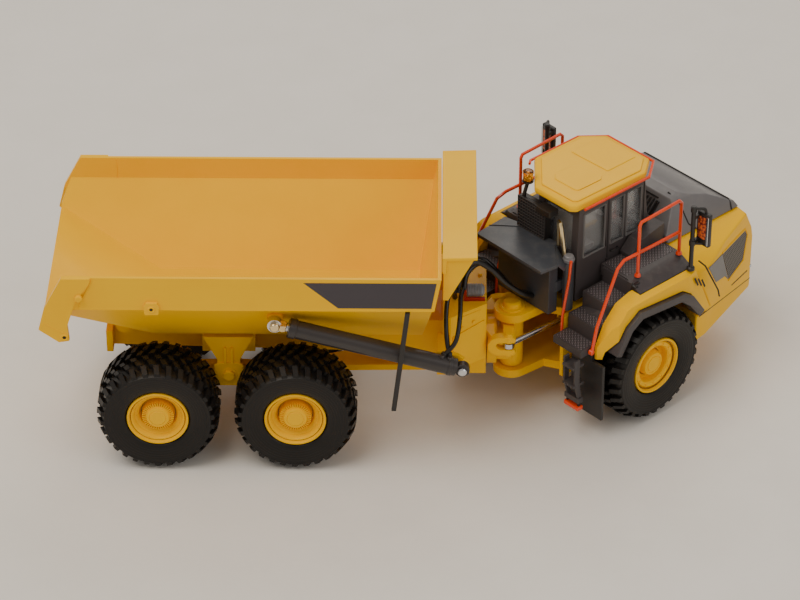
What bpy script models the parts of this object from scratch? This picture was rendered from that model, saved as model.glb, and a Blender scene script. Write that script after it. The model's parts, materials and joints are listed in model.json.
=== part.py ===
"""Articulated dump truck, a 1:50 die-cast scale model with three axles.

The rear unit (frame, bogie, dump body) lies along X. The front unit (engine, cab, front wheels)
is steered to its left stop about the vertical hitch pin. Sizes are in millimetres and the helper
functions turn them into metres. Rear-unit values count from the rearmost axle, on the ground,
at the middle of the truck. Front-unit values count from the hitch pin.
"""

import math

import bpy
import bmesh
from mathutils import Matrix, Vector

MM = 0.001
GAP = 0.3              # between solids that touch on the real model
SIDES = (("left", 1), ("right", -1))

# Whole truck
CENTRE_X = 83.8        # middle of the truck's box, counted from the rearmost axle
CENTRE_Y = 21.3
HITCH_X = 119.7
STEER_ANGLE = math.radians(42.83)

# Wheels
TYRE_RADIUS = 20.8
TYRE_WIDTH = 20.0
TYRE_FACE = 39.5       # outer face of a tyre, from the middle of the truck
RIM_RADIUS = 10.4
WHEEL_Y = TYRE_FACE - TYRE_WIDTH / 2
BOGIE_LENGTH = 46.4    # between the two rear axles
FRONT_AXLE_X = 32.7    # from the hitch pin
AXLE_RADIUS = 2.6
HOUSING_RADIUS = 6.3
HUB_FACE = WHEEL_Y - 7.0

# Rear frame
RAIL_HALF = 9.0
RAIL_TOP = 41.6
TOWER_FRONT = 110.8
TOWER_TOP = 50.0
TIP_X = -12.0
TIP_Z = 41.0
TIP_PIN_RADIUS = 1.6
LUG_THICK = 2.8

# Dump body
BODY_TOP = 77.5
BODY_HALF = 37.4
BODY_FLOOR = 42.7
FLOOR_HALF = 19.2
BODY_FRONT = 95.3
BODY_REAR = -29.6
BAND_HEIGHT = 12.7
WALL = 1.2
FRONT_RAKE = 6.3       # how far the foot of the front wall lies behind its top
FLOOR_REAR = -1.6
TAIL_X = -36.4
TAIL_Z = 60.4
GUARD_HALF = 33.2
GUARD_DEPTH = 11.5
GUARD_TOP = 83.6

# Hoist rams
RAM_Y = 33.0
RAM_FOOT = (102.5, 38.7)
RAM_HEAD = (40.0, 56.4)
RAM_RADIUS = 3.1
RAM_ROD_RADIUS = 1.5
RAM_EYE_RADIUS = 2.5
RAM_EYE_HALF = 1.3
CHEEK_OUT = 29.5
RAM_LENGTH = math.dist(RAM_FOOT, RAM_HEAD)
RAM_BARREL = RAM_LENGTH - 5.2

# Hitch
HITCH_Z = 28.0
RING_RADIUS = 8.6
POST_RADIUS = 4.0
EAR_LOW = 18.6
EAR_HIGH = 38.3
EAR_THICK = 3.1
STEER_ARM_Y = 12.0
STEER_ARM_X = -1.2
STEER_FOOT_X = 40.0
STEER_FOOT_Y = 11.0
STEER_Z = 34.0
STEER_RADIUS = 2.1
STEER_ROD_RADIUS = 1.1

# Cab and front unit
CAB_REAR = 15.0
CAB_FRONT = 50.0
CAB_HALF = 15.0
CAB_FLOOR = 44.0
CAB_TOP = 80.4
CAB_WALL = 1.1
ROOF_TOP = 83.4
CORNER_CUT = 11.5      # the cab's left rear corner is cut off at 45 degrees
ROOF_PLAN = [(12.4, -13.6), (14.2, -15.6), (46.4, -16.2), (53.8, -10.8), (53.8, 9.8), (46.6, 15.9),
             (24.6, 15.9), (12.2, 3.0)]
ROOF_RAIL = [(22.4, 15.9), (24.2, 17.3), (46.9, 17.2), (55.0, 10.4), (55.0, -11.4), (46.8, -17.4),
             (16.2, -17.2)]
DECK_Z = 54.5
DECK_REAR = 27.0
DECK_FRONT = 52.3
DECK_HALF = 27.8
STAIR_OUT = 30.3
STAIR_IN = 16.8
FENDER_OUT = 36.9
FENDER_IN = 30.7
NOSE_FRONT = 99.6
NOSE_BOTTOM = 17.5
NOSE_TOP = 54.0
HOOD_TOP = 66.2
RAIL_TUBE = 0.6

# Colours of the finishes: linear red, green, blue, then roughness and metallic
FINISHES = {
    "yellow_paint": ((0.90, 0.45, 0.01), 0.35, 0.0),
    "grey_paint": ((0.055, 0.052, 0.06), 0.5, 0.0),
    "black_plastic": ((0.015, 0.015, 0.016), 0.55, 0.0),
    "orange_paint": ((0.75, 0.09, 0.02), 0.4, 0.0),
    "rubber": ((0.012, 0.012, 0.012), 0.85, 0.0),
    "steel": ((0.62, 0.62, 0.6), 0.3, 1.0),
    "gold": ((0.75, 0.5, 0.22), 0.3, 1.0),
    "clear": ((0.75, 0.8, 0.8), 0.08, 0.0),
    "amber": ((0.9, 0.25, 0.02), 0.15, 0.0),
}

PARTS = None
CUTTERS = None


# ---------------------------------------------------------------- helpers

def clear_scene():
    """Remove what is in the file and make the two collections."""
    global PARTS, CUTTERS
    for old in list(bpy.data.objects):
        bpy.data.objects.remove(old, do_unlink=True)
    PARTS = bpy.data.collections.new("articulated_dump_truck")
    CUTTERS = bpy.data.collections.new("cutters")
    bpy.context.scene.collection.children.link(PARTS)
    bpy.context.scene.collection.children.link(CUTTERS)


def place(obj):
    """Put a new object in the parts collection only."""
    for collection in list(obj.users_collection):
        collection.objects.unlink(obj)
    PARTS.objects.link(obj)
    return obj


def empty(name, point=(0, 0, 0), parent=None, turn=0.0):
    """An empty that marks a joint's axis or a unit's own frame."""
    marker = place(bpy.data.objects.new(name, None))
    marker.location = Vector(point) * MM
    marker.rotation_euler = (0, 0, turn)
    marker.parent = parent
    return marker


def attach(obj, pivot, unit):
    """Hang a piece, placed in its unit's frame, on the pivot that it moves with."""
    obj.parent = pivot
    if pivot is not unit:
        obj.matrix_parent_inverse = Matrix.Translation(-pivot.location)
    return obj


def as_mesh(curve_object):
    """Swap a curve object for a closed mesh with welded caps."""
    graph = bpy.context.evaluated_depsgraph_get()
    mesh = bpy.data.meshes.new_from_object(curve_object.evaluated_get(graph))
    name = curve_object.name
    matrix = curve_object.matrix_basis.copy()
    bpy.data.objects.remove(curve_object, do_unlink=True)
    shape = bmesh.new()
    shape.from_mesh(mesh)
    bmesh.ops.remove_doubles(shape, verts=shape.verts, dist=0.000002)
    bmesh.ops.recalc_face_normals(shape, faces=shape.faces)
    shape.to_mesh(mesh)
    shape.free()
    mesh.transform(matrix)
    return place(bpy.data.objects.new(name, mesh))


def box(name, low, high, bevel=0.0):
    """A box between two corners, with rounded edges if a bevel is given."""
    bpy.ops.mesh.primitive_cube_add(size=1.0)
    obj = place(bpy.context.object)
    obj.name = name
    middle = [(a + b) / 2 * MM for a, b in zip(low, high)]
    size = [abs(b - a) * MM for a, b in zip(low, high)]
    obj.data.transform(Matrix.Translation(middle) @ Matrix.Diagonal((*size, 1)))
    if bevel:
        round_edges(obj, bevel)
    return obj


def round_edges(obj, width, segments=2):
    """Bevel the edges that are sharper than 30 degrees."""
    bevel = obj.modifiers.new("rounding", "BEVEL")
    bevel.width = width * MM
    bevel.segments = segments
    bevel.limit_method = "ANGLE"
    bevel.angle_limit = math.radians(30)
    return obj


def prism(name, outline, axis, low, high):
    """A flat outline pushed along an axis: (x, y) for z, (x, z) for y and (y, z) for x."""
    curve = bpy.data.curves.new(name, "CURVE")
    curve.dimensions = "2D"
    curve.fill_mode = "BOTH"
    curve.extrude = abs(high - low) / 2 * MM
    spline = curve.splines.new("POLY")
    spline.points.add(len(outline) - 1)
    for point, (u, v) in zip(spline.points, outline):
        point.co = (u * MM, v * MM, 0, 1)
    spline.use_cyclic_u = True
    obj = place(bpy.data.objects.new(name, curve))
    middle = (low + high) / 2 * MM
    columns = {
        "z": ((1, 0, 0, 0), (0, 1, 0, 0), (0, 0, 1, middle), (0, 0, 0, 1)),
        "y": ((1, 0, 0, 0), (0, 0, -1, middle), (0, 1, 0, 0), (0, 0, 0, 1)),
        "x": ((0, 0, 1, middle), (1, 0, 0, 0), (0, 1, 0, 0), (0, 0, 0, 1)),
    }
    obj.matrix_basis = Matrix(columns[axis])
    bpy.context.view_layer.update()
    return as_mesh(obj)


def rod(name, start, end, radius, sides=24):
    """A round bar between two points."""
    start = Vector(start)
    end = Vector(end)
    shape = bmesh.new()
    bmesh.ops.create_cone(shape, cap_ends=True, segments=sides, radius1=radius * MM,
                          radius2=radius * MM, depth=(end - start).length * MM)
    mesh = bpy.data.meshes.new(name)
    shape.to_mesh(mesh)
    shape.free()
    turn = (end - start).to_track_quat("Z", "Y").to_matrix().to_4x4()
    mesh.transform(Matrix.Translation((start + end) / 2 * MM) @ turn)
    mesh.shade_smooth()
    mesh.set_sharp_from_angle(angle=math.radians(40))
    return place(bpy.data.objects.new(name, mesh))


def ball(name, centre, radius, sides=16):
    """A sphere."""
    bpy.ops.mesh.primitive_uv_sphere_add(segments=sides, ring_count=sides // 2, radius=radius * MM)
    obj = place(bpy.context.object)
    obj.name = name
    obj.data.transform(Matrix.Translation(Vector(centre) * MM))
    obj.data.shade_smooth()
    return obj


def turned(name, profile, centre, axis, steps=32, closed=False):
    """A (radius, along) profile in mm, spun about the x, y or z axis through a point."""
    mesh = bpy.data.meshes.new(name)
    count = len(profile)
    edges = [(i, i + 1) for i in range(count - 1)]
    if closed:
        edges.append((count - 1, 0))
    mesh.from_pydata([(r * MM, 0, h * MM) for r, h in profile], edges, [])
    obj = place(bpy.data.objects.new(name, mesh))
    screw = obj.modifiers.new("turned", "SCREW")
    screw.steps = steps
    screw.render_steps = steps
    screw.use_merge_vertices = True
    screw.merge_threshold = 0.00001
    screw.use_smooth_shade = True
    obj.location = Vector(centre) * MM
    obj.rotation_euler = {"z": (0, 0, 0), "y": (math.radians(-90), 0, 0),
                          "x": (0, math.radians(90), 0)}[axis]
    return obj


def tube(name, points, radius, cyclic=False):
    """A round tube along a list of points, as a closed mesh."""
    curve = bpy.data.curves.new(name, "CURVE")
    curve.dimensions = "3D"
    curve.bevel_depth = radius * MM
    curve.bevel_resolution = 2
    curve.use_fill_caps = True
    spline = curve.splines.new("POLY")
    spline.points.add(len(points) - 1)
    for point, place_mm in zip(spline.points, points):
        point.co = (*(Vector(place_mm) * MM), 1)
    spline.use_cyclic_u = cyclic
    obj = place(bpy.data.objects.new(name, curve))
    return as_mesh(obj)


def boolean(target, tool, operation):
    """Join, cut or trim a piece with a tool, which then follows it as a hidden guide."""
    modifier = target.modifiers.new(operation.lower(), "BOOLEAN")
    modifier.operation = operation
    modifier.solver = "EXACT"
    modifier.object = tool
    tool.parent = target
    tool.matrix_parent_inverse = target.matrix_basis.inverted()
    tool.hide_render = True
    tool.display_type = "WIRE"
    PARTS.objects.unlink(tool)
    CUTTERS.objects.link(tool)
    return target


def join(target, *tools):
    for tool in tools:
        boolean(target, tool, "UNION")
    return target


def cut(target, *tools):
    for tool in tools:
        boolean(target, tool, "DIFFERENCE")
    return target


def common(target, *tools):
    for tool in tools:
        boolean(target, tool, "INTERSECT")
    return target


def paint(obj, finish):
    """Give a piece its own Principled material."""
    colour, roughness, metallic = FINISHES[finish]
    material = bpy.data.materials.new(obj.name + "_" + finish)
    material.use_nodes = True
    shader = material.node_tree.nodes["Principled BSDF"]
    shader.inputs["Base Color"].default_value = (*colour, 1)
    shader.inputs["Roughness"].default_value = roughness
    shader.inputs["Metallic"].default_value = metallic
    obj.data.materials.clear()
    obj.data.materials.append(material)
    return obj


def mirror_outline(half):
    """Close an outline given on one side, (along, across), over the middle line."""
    return half + [(u, -v) for u, v in reversed(half) if abs(v) > 0.001]


def band(low, high, side):
    """Two positions across the truck, put on the left (+1) or right (-1) side."""
    return min(low * side, high * side), max(low * side, high * side)


def sided_box(name, x_range, y_range, z_range, side, bevel=0.0):
    """A box whose Y range is given as distances from the middle, on one side."""
    y_low, y_high = band(*y_range, side)
    return box(name, (x_range[0], y_low, z_range[0]), (x_range[1], y_high, z_range[1]), bevel)


def sided_prism(name, outline, y_range, side):
    """An (x, z) outline between two distances from the middle, on one side."""
    return prism(name, outline, "y", *band(*y_range, side))


def arc(centre, radius, start, end, count):
    """Points on a circle, angles in degrees."""
    steps = [math.radians(start + (end - start) * i / (count - 1)) for i in range(count)]
    return [(centre[0] + radius * math.cos(t), centre[1] + radius * math.sin(t)) for t in steps]


# ---------------------------------------------------------------- wheels

def tyre_profile():
    """Closed (radius, along) loop of the tyre: down its tread, back up inside the bead."""
    half = TYRE_WIDTH / 2
    shoulder = TYRE_RADIUS * 0.87
    return [(RIM_RADIUS + GAP, half - 2.2), (RIM_RADIUS + 1.6, half - 0.7), (shoulder - 2, half),
            (TYRE_RADIUS - 1.0, half - 0.9), (TYRE_RADIUS, half - 3.0),
            (TYRE_RADIUS, 3.0 - half), (TYRE_RADIUS - 1.0, 0.9 - half), (shoulder - 2, -half),
            (RIM_RADIUS + 1.6, 0.7 - half), (RIM_RADIUS + GAP, 2.2 - half)]


def rim_profile():
    """Dished rim with a stepped hub, seen from its outer face down to its back."""
    return [(0, 8.6), (3.4, 8.6), (5.6, 6.2), (7.9, 5.6), (9.3, 9.0), (RIM_RADIUS, 9.0),
            (RIM_RADIUS, -7.0), (0, -7.0)]


def wheel(name, x, side, unit):
    """A tyre and its rim, both centred on the axle."""
    centre = (x, WHEEL_Y * side, TYRE_RADIUS)
    pivot = empty("pivot_" + name, centre, unit)
    for kind, profile, finish in (("tyre", tyre_profile(), "rubber"),
                                  ("rim", rim_profile(), "yellow_paint")):
        piece = turned(f"{kind}_{name}", profile, centre, "y", 32, closed=kind == "tyre")
        if side < 0:
            piece.rotation_euler = (math.radians(90), 0, 0)
        attach(paint(piece, finish), pivot, unit)


# ---------------------------------------------------------------- rear unit

def rear_frame(unit):
    """Central beam, tip pin, rear plate, front tower and the arms that hold the hoist rams."""
    side_view = [(-17.0, 31.0), (-17.0, 38.6), (-9.0, RAIL_TOP), (99.0, RAIL_TOP),
                 (105.0, 22.0), (97.0, 23.0), (60.0, 29.0)]
    frame = prism("rear_frame", side_view, "y", -RAIL_HALF, RAIL_HALF)
    plan = mirror_outline([(96.0, 19.5), (98.6, 19.5), (TOWER_FRONT, 11.0)])
    tower = prism("tower", plan, "z", 27.5, TOWER_TOP)
    foot = box("tower_foot", (100.0, -RAIL_HALF, 19.5), (TOWER_FRONT, RAIL_HALF, 30.0))
    pin = rod("tip_pin", (TIP_X, -RAIL_HALF - LUG_THICK - 1.6, TIP_Z),
              (TIP_X, RAIL_HALF + LUG_THICK + 1.6, TIP_Z), TIP_PIN_RADIUS)
    plate = box("rear_plate", (-18.6, -13.0, 30.6), (-16.4, 13.0, 39.0))
    join(frame, tower, foot, pin, plate)
    for name, side in SIDES:
        arm = sided_box("arm_" + name, (94.0, 98.4), (18.0, CHEEK_OUT - 0.2), (33.5, 43.0), side)
        cheek = sided_prism("cheek_" + name, [(94.0, 33.5), (101.0, 36.0), (103.2, 37.6),
                                              (103.2, 39.8), (101.0, 41.4), (94.0, 43.0)],
                            (CHEEK_OUT - 1.8, CHEEK_OUT), side)
        boss = rod("foot_boss_" + name, (RAM_FOOT[0], (CHEEK_OUT - 0.3) * side, RAM_FOOT[1]),
                   (RAM_FOOT[0], (RAM_Y - RAM_EYE_HALF - GAP) * side, RAM_FOOT[1]), 1.1, 16)
        join(frame, arm, cheek, boss)
    return attach(paint(frame, "yellow_paint"), unit, unit)


def bogie(unit, frame):
    """Cast brackets on the frame, walking beams, two axles and the lower stay."""
    middle = BOGIE_LENGTH / 2
    for name, side in SIDES:
        block = sided_box("bogie_bracket_" + name, (middle - 9, middle + 9),
                          (RAIL_HALF - 1.0, 15.0), (32.5, 40.5), side)
        web = [(middle - 8.5, 40.5), (middle - 3.8, 31.0)]
        web += arc((middle, 25.2), 4.6, 170, 370, 13)
        web += [(middle + 3.8, 31.0), (middle + 8.5, 40.5)]
        join(frame, block, sided_prism("web_" + name, web, (14.0, 18.2), side))
        outline = arc((0, TYRE_RADIUS), 4.4, 100, 260, 9)
        outline += [(middle, TYRE_RADIUS - 3.4)]
        outline += arc((BOGIE_LENGTH, TYRE_RADIUS), 4.4, 280, 440, 9)
        outline += [(middle, TYRE_RADIUS + 5.4)]
        beam = sided_prism("bogie_beam_" + name, outline, (10.4, 13.6), side)
        for x in (0, BOGIE_LENGTH):
            cut(beam, rod("bore", (x, 9 * side, TYRE_RADIUS), (x, 15 * side, TYRE_RADIUS),
                          AXLE_RADIUS + GAP))
        attach(paint(beam, "yellow_paint"), unit, unit)
    for number, x in (("1", 0), ("2", BOGIE_LENGTH)):
        axle = rod("rear_axle_" + number, (x, GAP - HUB_FACE, TYRE_RADIUS),
                   (x, HUB_FACE - GAP, TYRE_RADIUS), AXLE_RADIUS)
        join(axle, ball("housing", (x, 0, TYRE_RADIUS), HOUSING_RADIUS))
        attach(paint(axle, "yellow_paint"), unit, unit)
    stay = prism("lower_stay", mirror_outline([(BOGIE_LENGTH + 7.2, 3.0), (90.0, 8.6),
                                               (93.5, 8.6), (93.5, 3.0)]), "z", -1.2, 1.2)
    foot = Matrix.Translation((53.6 * MM, 0, 0))
    rise = Matrix.Rotation(math.radians(-7.2), 4, "Y")
    stay.data.transform(Matrix.Translation((0, 0, 17.0 * MM)) @ foot @ rise @ foot.inverted())
    attach(paint(stay, "yellow_paint"), unit, unit)


def body_side_view(inset):
    """(x, z) outline of the dump body, moved in by the wall, open at the top and the tail."""
    slope = math.atan2(TAIL_Z - BODY_FLOOR, FLOOR_REAR - TAIL_X)
    rake = math.atan2(FRONT_RAKE, BODY_TOP - BODY_FLOOR)
    floor = BODY_FLOOR + inset
    top = BODY_TOP + 6 * bool(inset)
    tail = TAIL_X - 12 * bool(inset)
    bend = FLOOR_REAR - inset * math.tan(slope / 2)
    front_top = BODY_FRONT - inset / math.cos(rake) + (top - BODY_TOP) * math.tan(rake)
    front_foot = front_top - (top - floor) * math.tan(rake)
    tail_z = floor + (bend - tail) * math.tan(slope)
    if not inset:
        return [(tail, tail_z), (TAIL_X, 62.0), (BODY_REAR, top), (front_top, top),
                (front_foot, floor), (bend, floor)]
    return [(tail, tail_z), (tail, top), (front_top, top), (front_foot, floor), (bend, floor)]


def dump_body(unit, pivot):
    """V-shaped open body: outer form less inner form, with ears, hinge lugs and ram lugs."""
    ledge = BODY_TOP - BAND_HEIGHT
    half = [(BODY_HALF, BODY_TOP + 1), (BODY_HALF, ledge), (34.3, ledge),
            (FLOOR_HALF, BODY_FLOOR), (FLOOR_HALF, BODY_FLOOR - 5)]
    outer = half + [(-y, z) for y, z in reversed(half)]
    half = [(BODY_HALF - WALL, BODY_TOP + 9), (BODY_HALF - WALL, ledge + 4.7),
            (FLOOR_HALF - 1.3, BODY_FLOOR + WALL), (FLOOR_HALF - 1.3, BODY_FLOOR - 5)]
    inner = half + [(-y, z) for y, z in reversed(half)]
    body = prism("dump_body", body_side_view(0), "y", -60, 60)
    common(body, prism("outer_section", outer, "x", -80, 140))
    ear = [(-29.6, BODY_TOP), (-35.7, 65.9), (-38.0, 57.2), (-31.5, 52.2), (-28.0, 52.8),
           (-28.4, 58.7), (-25.3, 68.4), (-20.1, 76.0), (-20.1, BODY_TOP)]
    slope = (TAIL_Z - BODY_FLOOR) / (FLOOR_REAR - TAIL_X)
    for name, side in SIDES:
        plate = sided_prism("ear_" + name, ear, (BODY_HALF - 0.9, BODY_HALF + 0.8), side)
        lug_low = RAIL_HALF + GAP
        half_lug = 3.3
        under = [(TIP_X - half_lug, BODY_FLOOR + slope * (FLOOR_REAR - TIP_X + half_lug) + 0.7),
                 (TIP_X + half_lug, BODY_FLOOR + slope * (FLOOR_REAR - TIP_X - half_lug) + 0.7)]
        outline = under + arc((TIP_X, TIP_Z), half_lug, 0, -180, 9)
        lug = sided_prism("hinge_lug_" + name, outline, (lug_low, lug_low + LUG_THICK), side)
        ram_lug = rod("ram_lug_" + name, (RAM_HEAD[0], 26 * side, RAM_HEAD[1]),
                      (RAM_HEAD[0], (RAM_Y - RAM_EYE_HALF - 0.4) * side, RAM_HEAD[1]), 2.8, 16)
        join(body, lug, ram_lug, plate)
        cut(body, rod("pin_hole", (TIP_X, 5 * side, TIP_Z), (TIP_X, 16 * side, TIP_Z),
                      TIP_PIN_RADIUS + 0.35))
    hollow = prism("hollow", body_side_view(WALL), "y", -55, 55)
    common(hollow, prism("inner_section", inner, "x", -80, 140))
    cut(body, hollow)
    attach(paint(body, "yellow_paint"), pivot, unit)


def spill_guard(unit, pivot):
    """Plate over the front wall that shields the cab, on four gussets."""
    back = BODY_FRONT + GAP
    front = back + GUARD_DEPTH
    slab = prism("spill_guard", [(back, GUARD_TOP - 1.6), (front, GUARD_TOP - 1.1),
                                 (front, GUARD_TOP), (back, GUARD_TOP - 0.4)],
                 "y", -GUARD_HALF, GUARD_HALF)
    join(slab, box("guard_back", (back, -GUARD_HALF, BODY_TOP - 0.5),
                   (back + 1.3, GUARD_HALF, GUARD_TOP - 0.6)))
    for y in (-GUARD_HALF + 1.4, -11.0, 11.0, GUARD_HALF - 1.4):
        rib = [(back + 0.6, GUARD_TOP - 1.0), (front - 0.8, GUARD_TOP - 0.8),
               (back + 2.0, 66.0), (back + 0.2, 66.0), (back + 0.2, BODY_TOP)]
        join(slab, prism("guard_rib", rib, "y", y - 0.7, y + 0.7))
    attach(paint(slab, "yellow_paint"), pivot, unit)


def mudflaps(unit, pivot):
    """Black flap behind the hoist ram on each side, hung from the body's side band."""
    outline = [(83.4, 64.5), (85.0, 64.5), (80.4, 24.6), (78.8, 24.6)]
    for name, side in SIDES:
        flap = sided_prism("mudflap_" + name, outline, (36.6, 38.2), side)
        attach(paint(flap, "black_plastic"), pivot, unit)


def ram_axis(side):
    """Start point and direction of a hoist ram, from its foot to its head."""
    foot = Vector((RAM_FOOT[0], RAM_Y * side, RAM_FOOT[1]))
    head = Vector((RAM_HEAD[0], RAM_Y * side, RAM_HEAD[1]))
    return foot, (head - foot).normalized()


def cup(name, start, along, length, radius, bore, floor, sides=20):
    """A cylinder barrel, open at its far end, that starts floor before its bore does."""
    profile = [(0, floor), (bore, floor), (bore, length), (radius, length), (radius, 0), (0, 0)]
    obj = turned(name, profile, (0, 0, 0), "z", sides)
    obj.location = Vector(start) * MM
    obj.rotation_euler = Vector(along).to_track_quat("Z", "Y").to_euler()
    return obj


def hoist_rams(unit, body_pivot):
    """Barrel and rod on each side; the rod's eye lies beside the body's lug."""
    for name, side in SIDES:
        foot, along = ram_axis(side)
        pivot = empty("pivot_hoist_" + name, foot, unit)
        barrel = cup("hoist_barrel_" + name, foot + along * 2.2, along, RAM_BARREL - 2.2,
                     RAM_RADIUS, RAM_ROD_RADIUS + 0.35, 2.0)
        eye = rod("foot_eye", foot - Vector((0, RAM_EYE_HALF, 0)),
                  foot + Vector((0, RAM_EYE_HALF, 0)), RAM_EYE_RADIUS, 20)
        join(barrel, eye)
        attach(paint(barrel, "grey_paint"), pivot, unit)
        ram = rod("hoist_rod_" + name, foot + along * 4.8,
                  foot + along * (RAM_LENGTH - 0.5), RAM_ROD_RADIUS, 20)
        head = foot + along * RAM_LENGTH
        join(ram, rod("head_eye", head - Vector((0, RAM_EYE_HALF, 0)),
                      head + Vector((0, RAM_EYE_HALF, 0)), RAM_EYE_RADIUS, 20))
        attach(paint(ram, "steel"), pivot, unit)


# ---------------------------------------------------------------- hitch

def hitch_knuckle(unit):
    """Ring that lets the units roll, the steering post and its two arms."""
    pivot = empty("pivot_roll", (HITCH_X, 0, HITCH_Z), unit)
    ring = rod("hitch_knuckle", (TOWER_FRONT + GAP, 0, HITCH_Z),
               (TOWER_FRONT + GAP + 3.4, 0, HITCH_Z), RING_RADIUS, 32)
    neck = box("neck", (TOWER_FRONT + 2.5, -5.0, 22.5), (HITCH_X, 5.0, 33.5))
    post = rod("post", (HITCH_X, 0, EAR_LOW + GAP), (HITCH_X, 0, EAR_HIGH - GAP), POST_RADIUS)
    arm_x = HITCH_X + STEER_ARM_X
    arms = box("arms", (arm_x - 1.9, -STEER_ARM_Y, STEER_Z + 1.2),
               (arm_x + 1.9, STEER_ARM_Y, STEER_Z + 3.2))
    join(ring, neck, post, arms)
    for _, side in SIDES:
        join(ring, rod("arm_end", (arm_x, STEER_ARM_Y * side, STEER_Z + 1.2),
                       (arm_x, STEER_ARM_Y * side, STEER_Z + 3.2), 1.9, 16))
    attach(paint(ring, "yellow_paint"), pivot, unit)


def steering_rams(front):
    """Two cylinders in the front frame; each rod's eye lies under a knuckle arm."""
    turn = Matrix.Rotation(-STEER_ANGLE, 3, "Z")
    for name, side in SIDES:
        foot = Vector((STEER_FOOT_X, STEER_FOOT_Y * side, STEER_Z))
        head = turn @ Vector((STEER_ARM_X, STEER_ARM_Y * side, 0)) + Vector((0, 0, STEER_Z))
        along = (head - foot).normalized()
        length = (head - foot).length
        pivot = empty("pivot_steering_" + name, foot, front)
        shortest = 32.2
        barrel = cup("steering_barrel_" + name, foot + along * 1.5, along, shortest - 8.0,
                     STEER_RADIUS, STEER_ROD_RADIUS + 0.3, 1.6, 16)
        join(barrel, rod("eye", foot - Vector((0, 0, 0.9)), foot + Vector((0, 0, 0.9)), 2.0, 16))
        attach(paint(barrel, "yellow_paint"), pivot, front)
        ram = rod("steering_rod_" + name, head - along * (shortest - 4.0), head - along * 0.4,
                  STEER_ROD_RADIUS, 16)
        join(ram, rod("eye", head - Vector((0, 0, 0.9)), head + Vector((0, 0, 0.9)), 2.0, 16))
        attach(paint(ram, "steel"), pivot, front)


# ---------------------------------------------------------------- front unit

def front_frame(front):
    """Hitch ears, side plates with long slots, and the engine bearers."""
    ear_plan = arc((0, 0), 6.2, 90, 270, 13) + [(9, -7), (14, -16.2), (55.5, -16.2), (55.5, 16.2),
                                                (14, 16.2), (9, 7)]
    frame = prism("front_frame", ear_plan, "z", EAR_HIGH, EAR_HIGH + EAR_THICK)
    lower = prism("lower_ear", ear_plan, "z", EAR_LOW - EAR_THICK, EAR_LOW)
    join(frame, lower)
    for name, side in SIDES:
        plate = sided_prism("side_plate_" + name, [(9.0, 16.0), (9.0, 40.8), (55.3, 40.8),
                                                   (55.3, 16.0)], (14.7, 16.2), side)
        slot = [(12.0, 22.0), (12.0, 33.5), (24.0, 33.5), (24.0, 22.0)]
        cut(plate, round_edges(sided_prism("slot_" + name, slot, (13, 18), side), 2.0))
        join(frame, plate)
    join(frame, box("bulkhead", (44.0, -15.5, 17.0), (47.0, 15.5, 40.0)))
    for _, side in SIDES:
        lug = sided_box("cylinder_lug", (STEER_FOOT_X - 0.6, 45.0), (9.0, 13.0),
                        (STEER_Z + 1.2, STEER_Z + 5.0), side)
        join(frame, lug)
    cut(frame, rod("axle_room", (FRONT_AXLE_X, -20, TYRE_RADIUS), (FRONT_AXLE_X, 20, TYRE_RADIUS),
                   AXLE_RADIUS + GAP),
        rod("housing_room", (FRONT_AXLE_X, 0, 10.0), (FRONT_AXLE_X, 0, EAR_LOW + 1),
            HOUSING_RADIUS + GAP))
    attach(paint(frame, "yellow_paint"), front, front)


def front_axle(front):
    """Axle tube with its round housing, between the front hubs."""
    axle = rod("front_axle", (FRONT_AXLE_X, GAP - HUB_FACE, TYRE_RADIUS),
               (FRONT_AXLE_X, HUB_FACE - GAP, TYRE_RADIUS), AXLE_RADIUS)
    join(axle, ball("housing", (FRONT_AXLE_X, 0, TYRE_RADIUS), HOUSING_RADIUS))
    return axle


def nose(front):
    """Yellow engine cowl and bumper with raked front and tapering sides."""
    side_view = [(56.0, NOSE_BOTTOM), (56.0, 28.6), (64.2, 28.6), (53.0, 50.6), (53.0, NOSE_TOP),
                 (88.3, NOSE_TOP), (94.2, 44.0), (NOSE_FRONT, 25.0), (98.6, NOSE_BOTTOM)]
    plan = mirror_outline([(50.0, 35.2), (62.0, 33.6), (95.4, 23.6), (98.4, 14.0),
                           (NOSE_FRONT, 5.0)])
    half = [(35.2, 10.0), (35.2, 28.0), (33.4, 46.0), (30.0, 50.4), (22.0, NOSE_TOP),
            (22.0, NOSE_TOP + 4)]
    section = half + [(-y, z) for y, z in reversed(half)]
    body = prism("nose", side_view, "y", -50, 50)
    common(body, prism("nose_plan", plan, "z", 0, 80), prism("nose_section", section, "x", 30, 120))
    attach(paint(body, "yellow_paint"), front, front)


def hood(front):
    """Dark hood lid with sloping shoulders and a louvred rear face."""
    side_view = [(52.6, NOSE_TOP + GAP), (52.6, 57.0), (61.0, HOOD_TOP - 0.8), (65.0, HOOD_TOP),
                 (76.0, 62.6), (86.5, 57.0), (88.3, NOSE_TOP + GAP)]
    half = [(22.4, NOSE_TOP), (21.4, 57.4), (16.5, 64.6), (11.0, HOOD_TOP + 1)]
    section = half + [(-y, z) for y, z in reversed(half)]
    lid = prism("hood", side_view, "y", -40, 40)
    common(lid, prism("hood_section", section, "x", 30, 120))
    attach(paint(lid, "grey_paint"), front, front)


def lip_points(outer):
    """(x, z) points along the wheel arch trim, outer or inner edge."""
    if outer:
        return [(12.6, 33.9), (17.9, 43.0), (24.0, 47.0), (45.4, 45.0), (50.0, 41.8),
                (56.0, 33.2)]
    return [(53.4, 31.8), (48.4, 38.2), (44.0, 42.0), (25.0, 43.9), (20.2, 41.0), (15.2, 32.6)]


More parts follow.
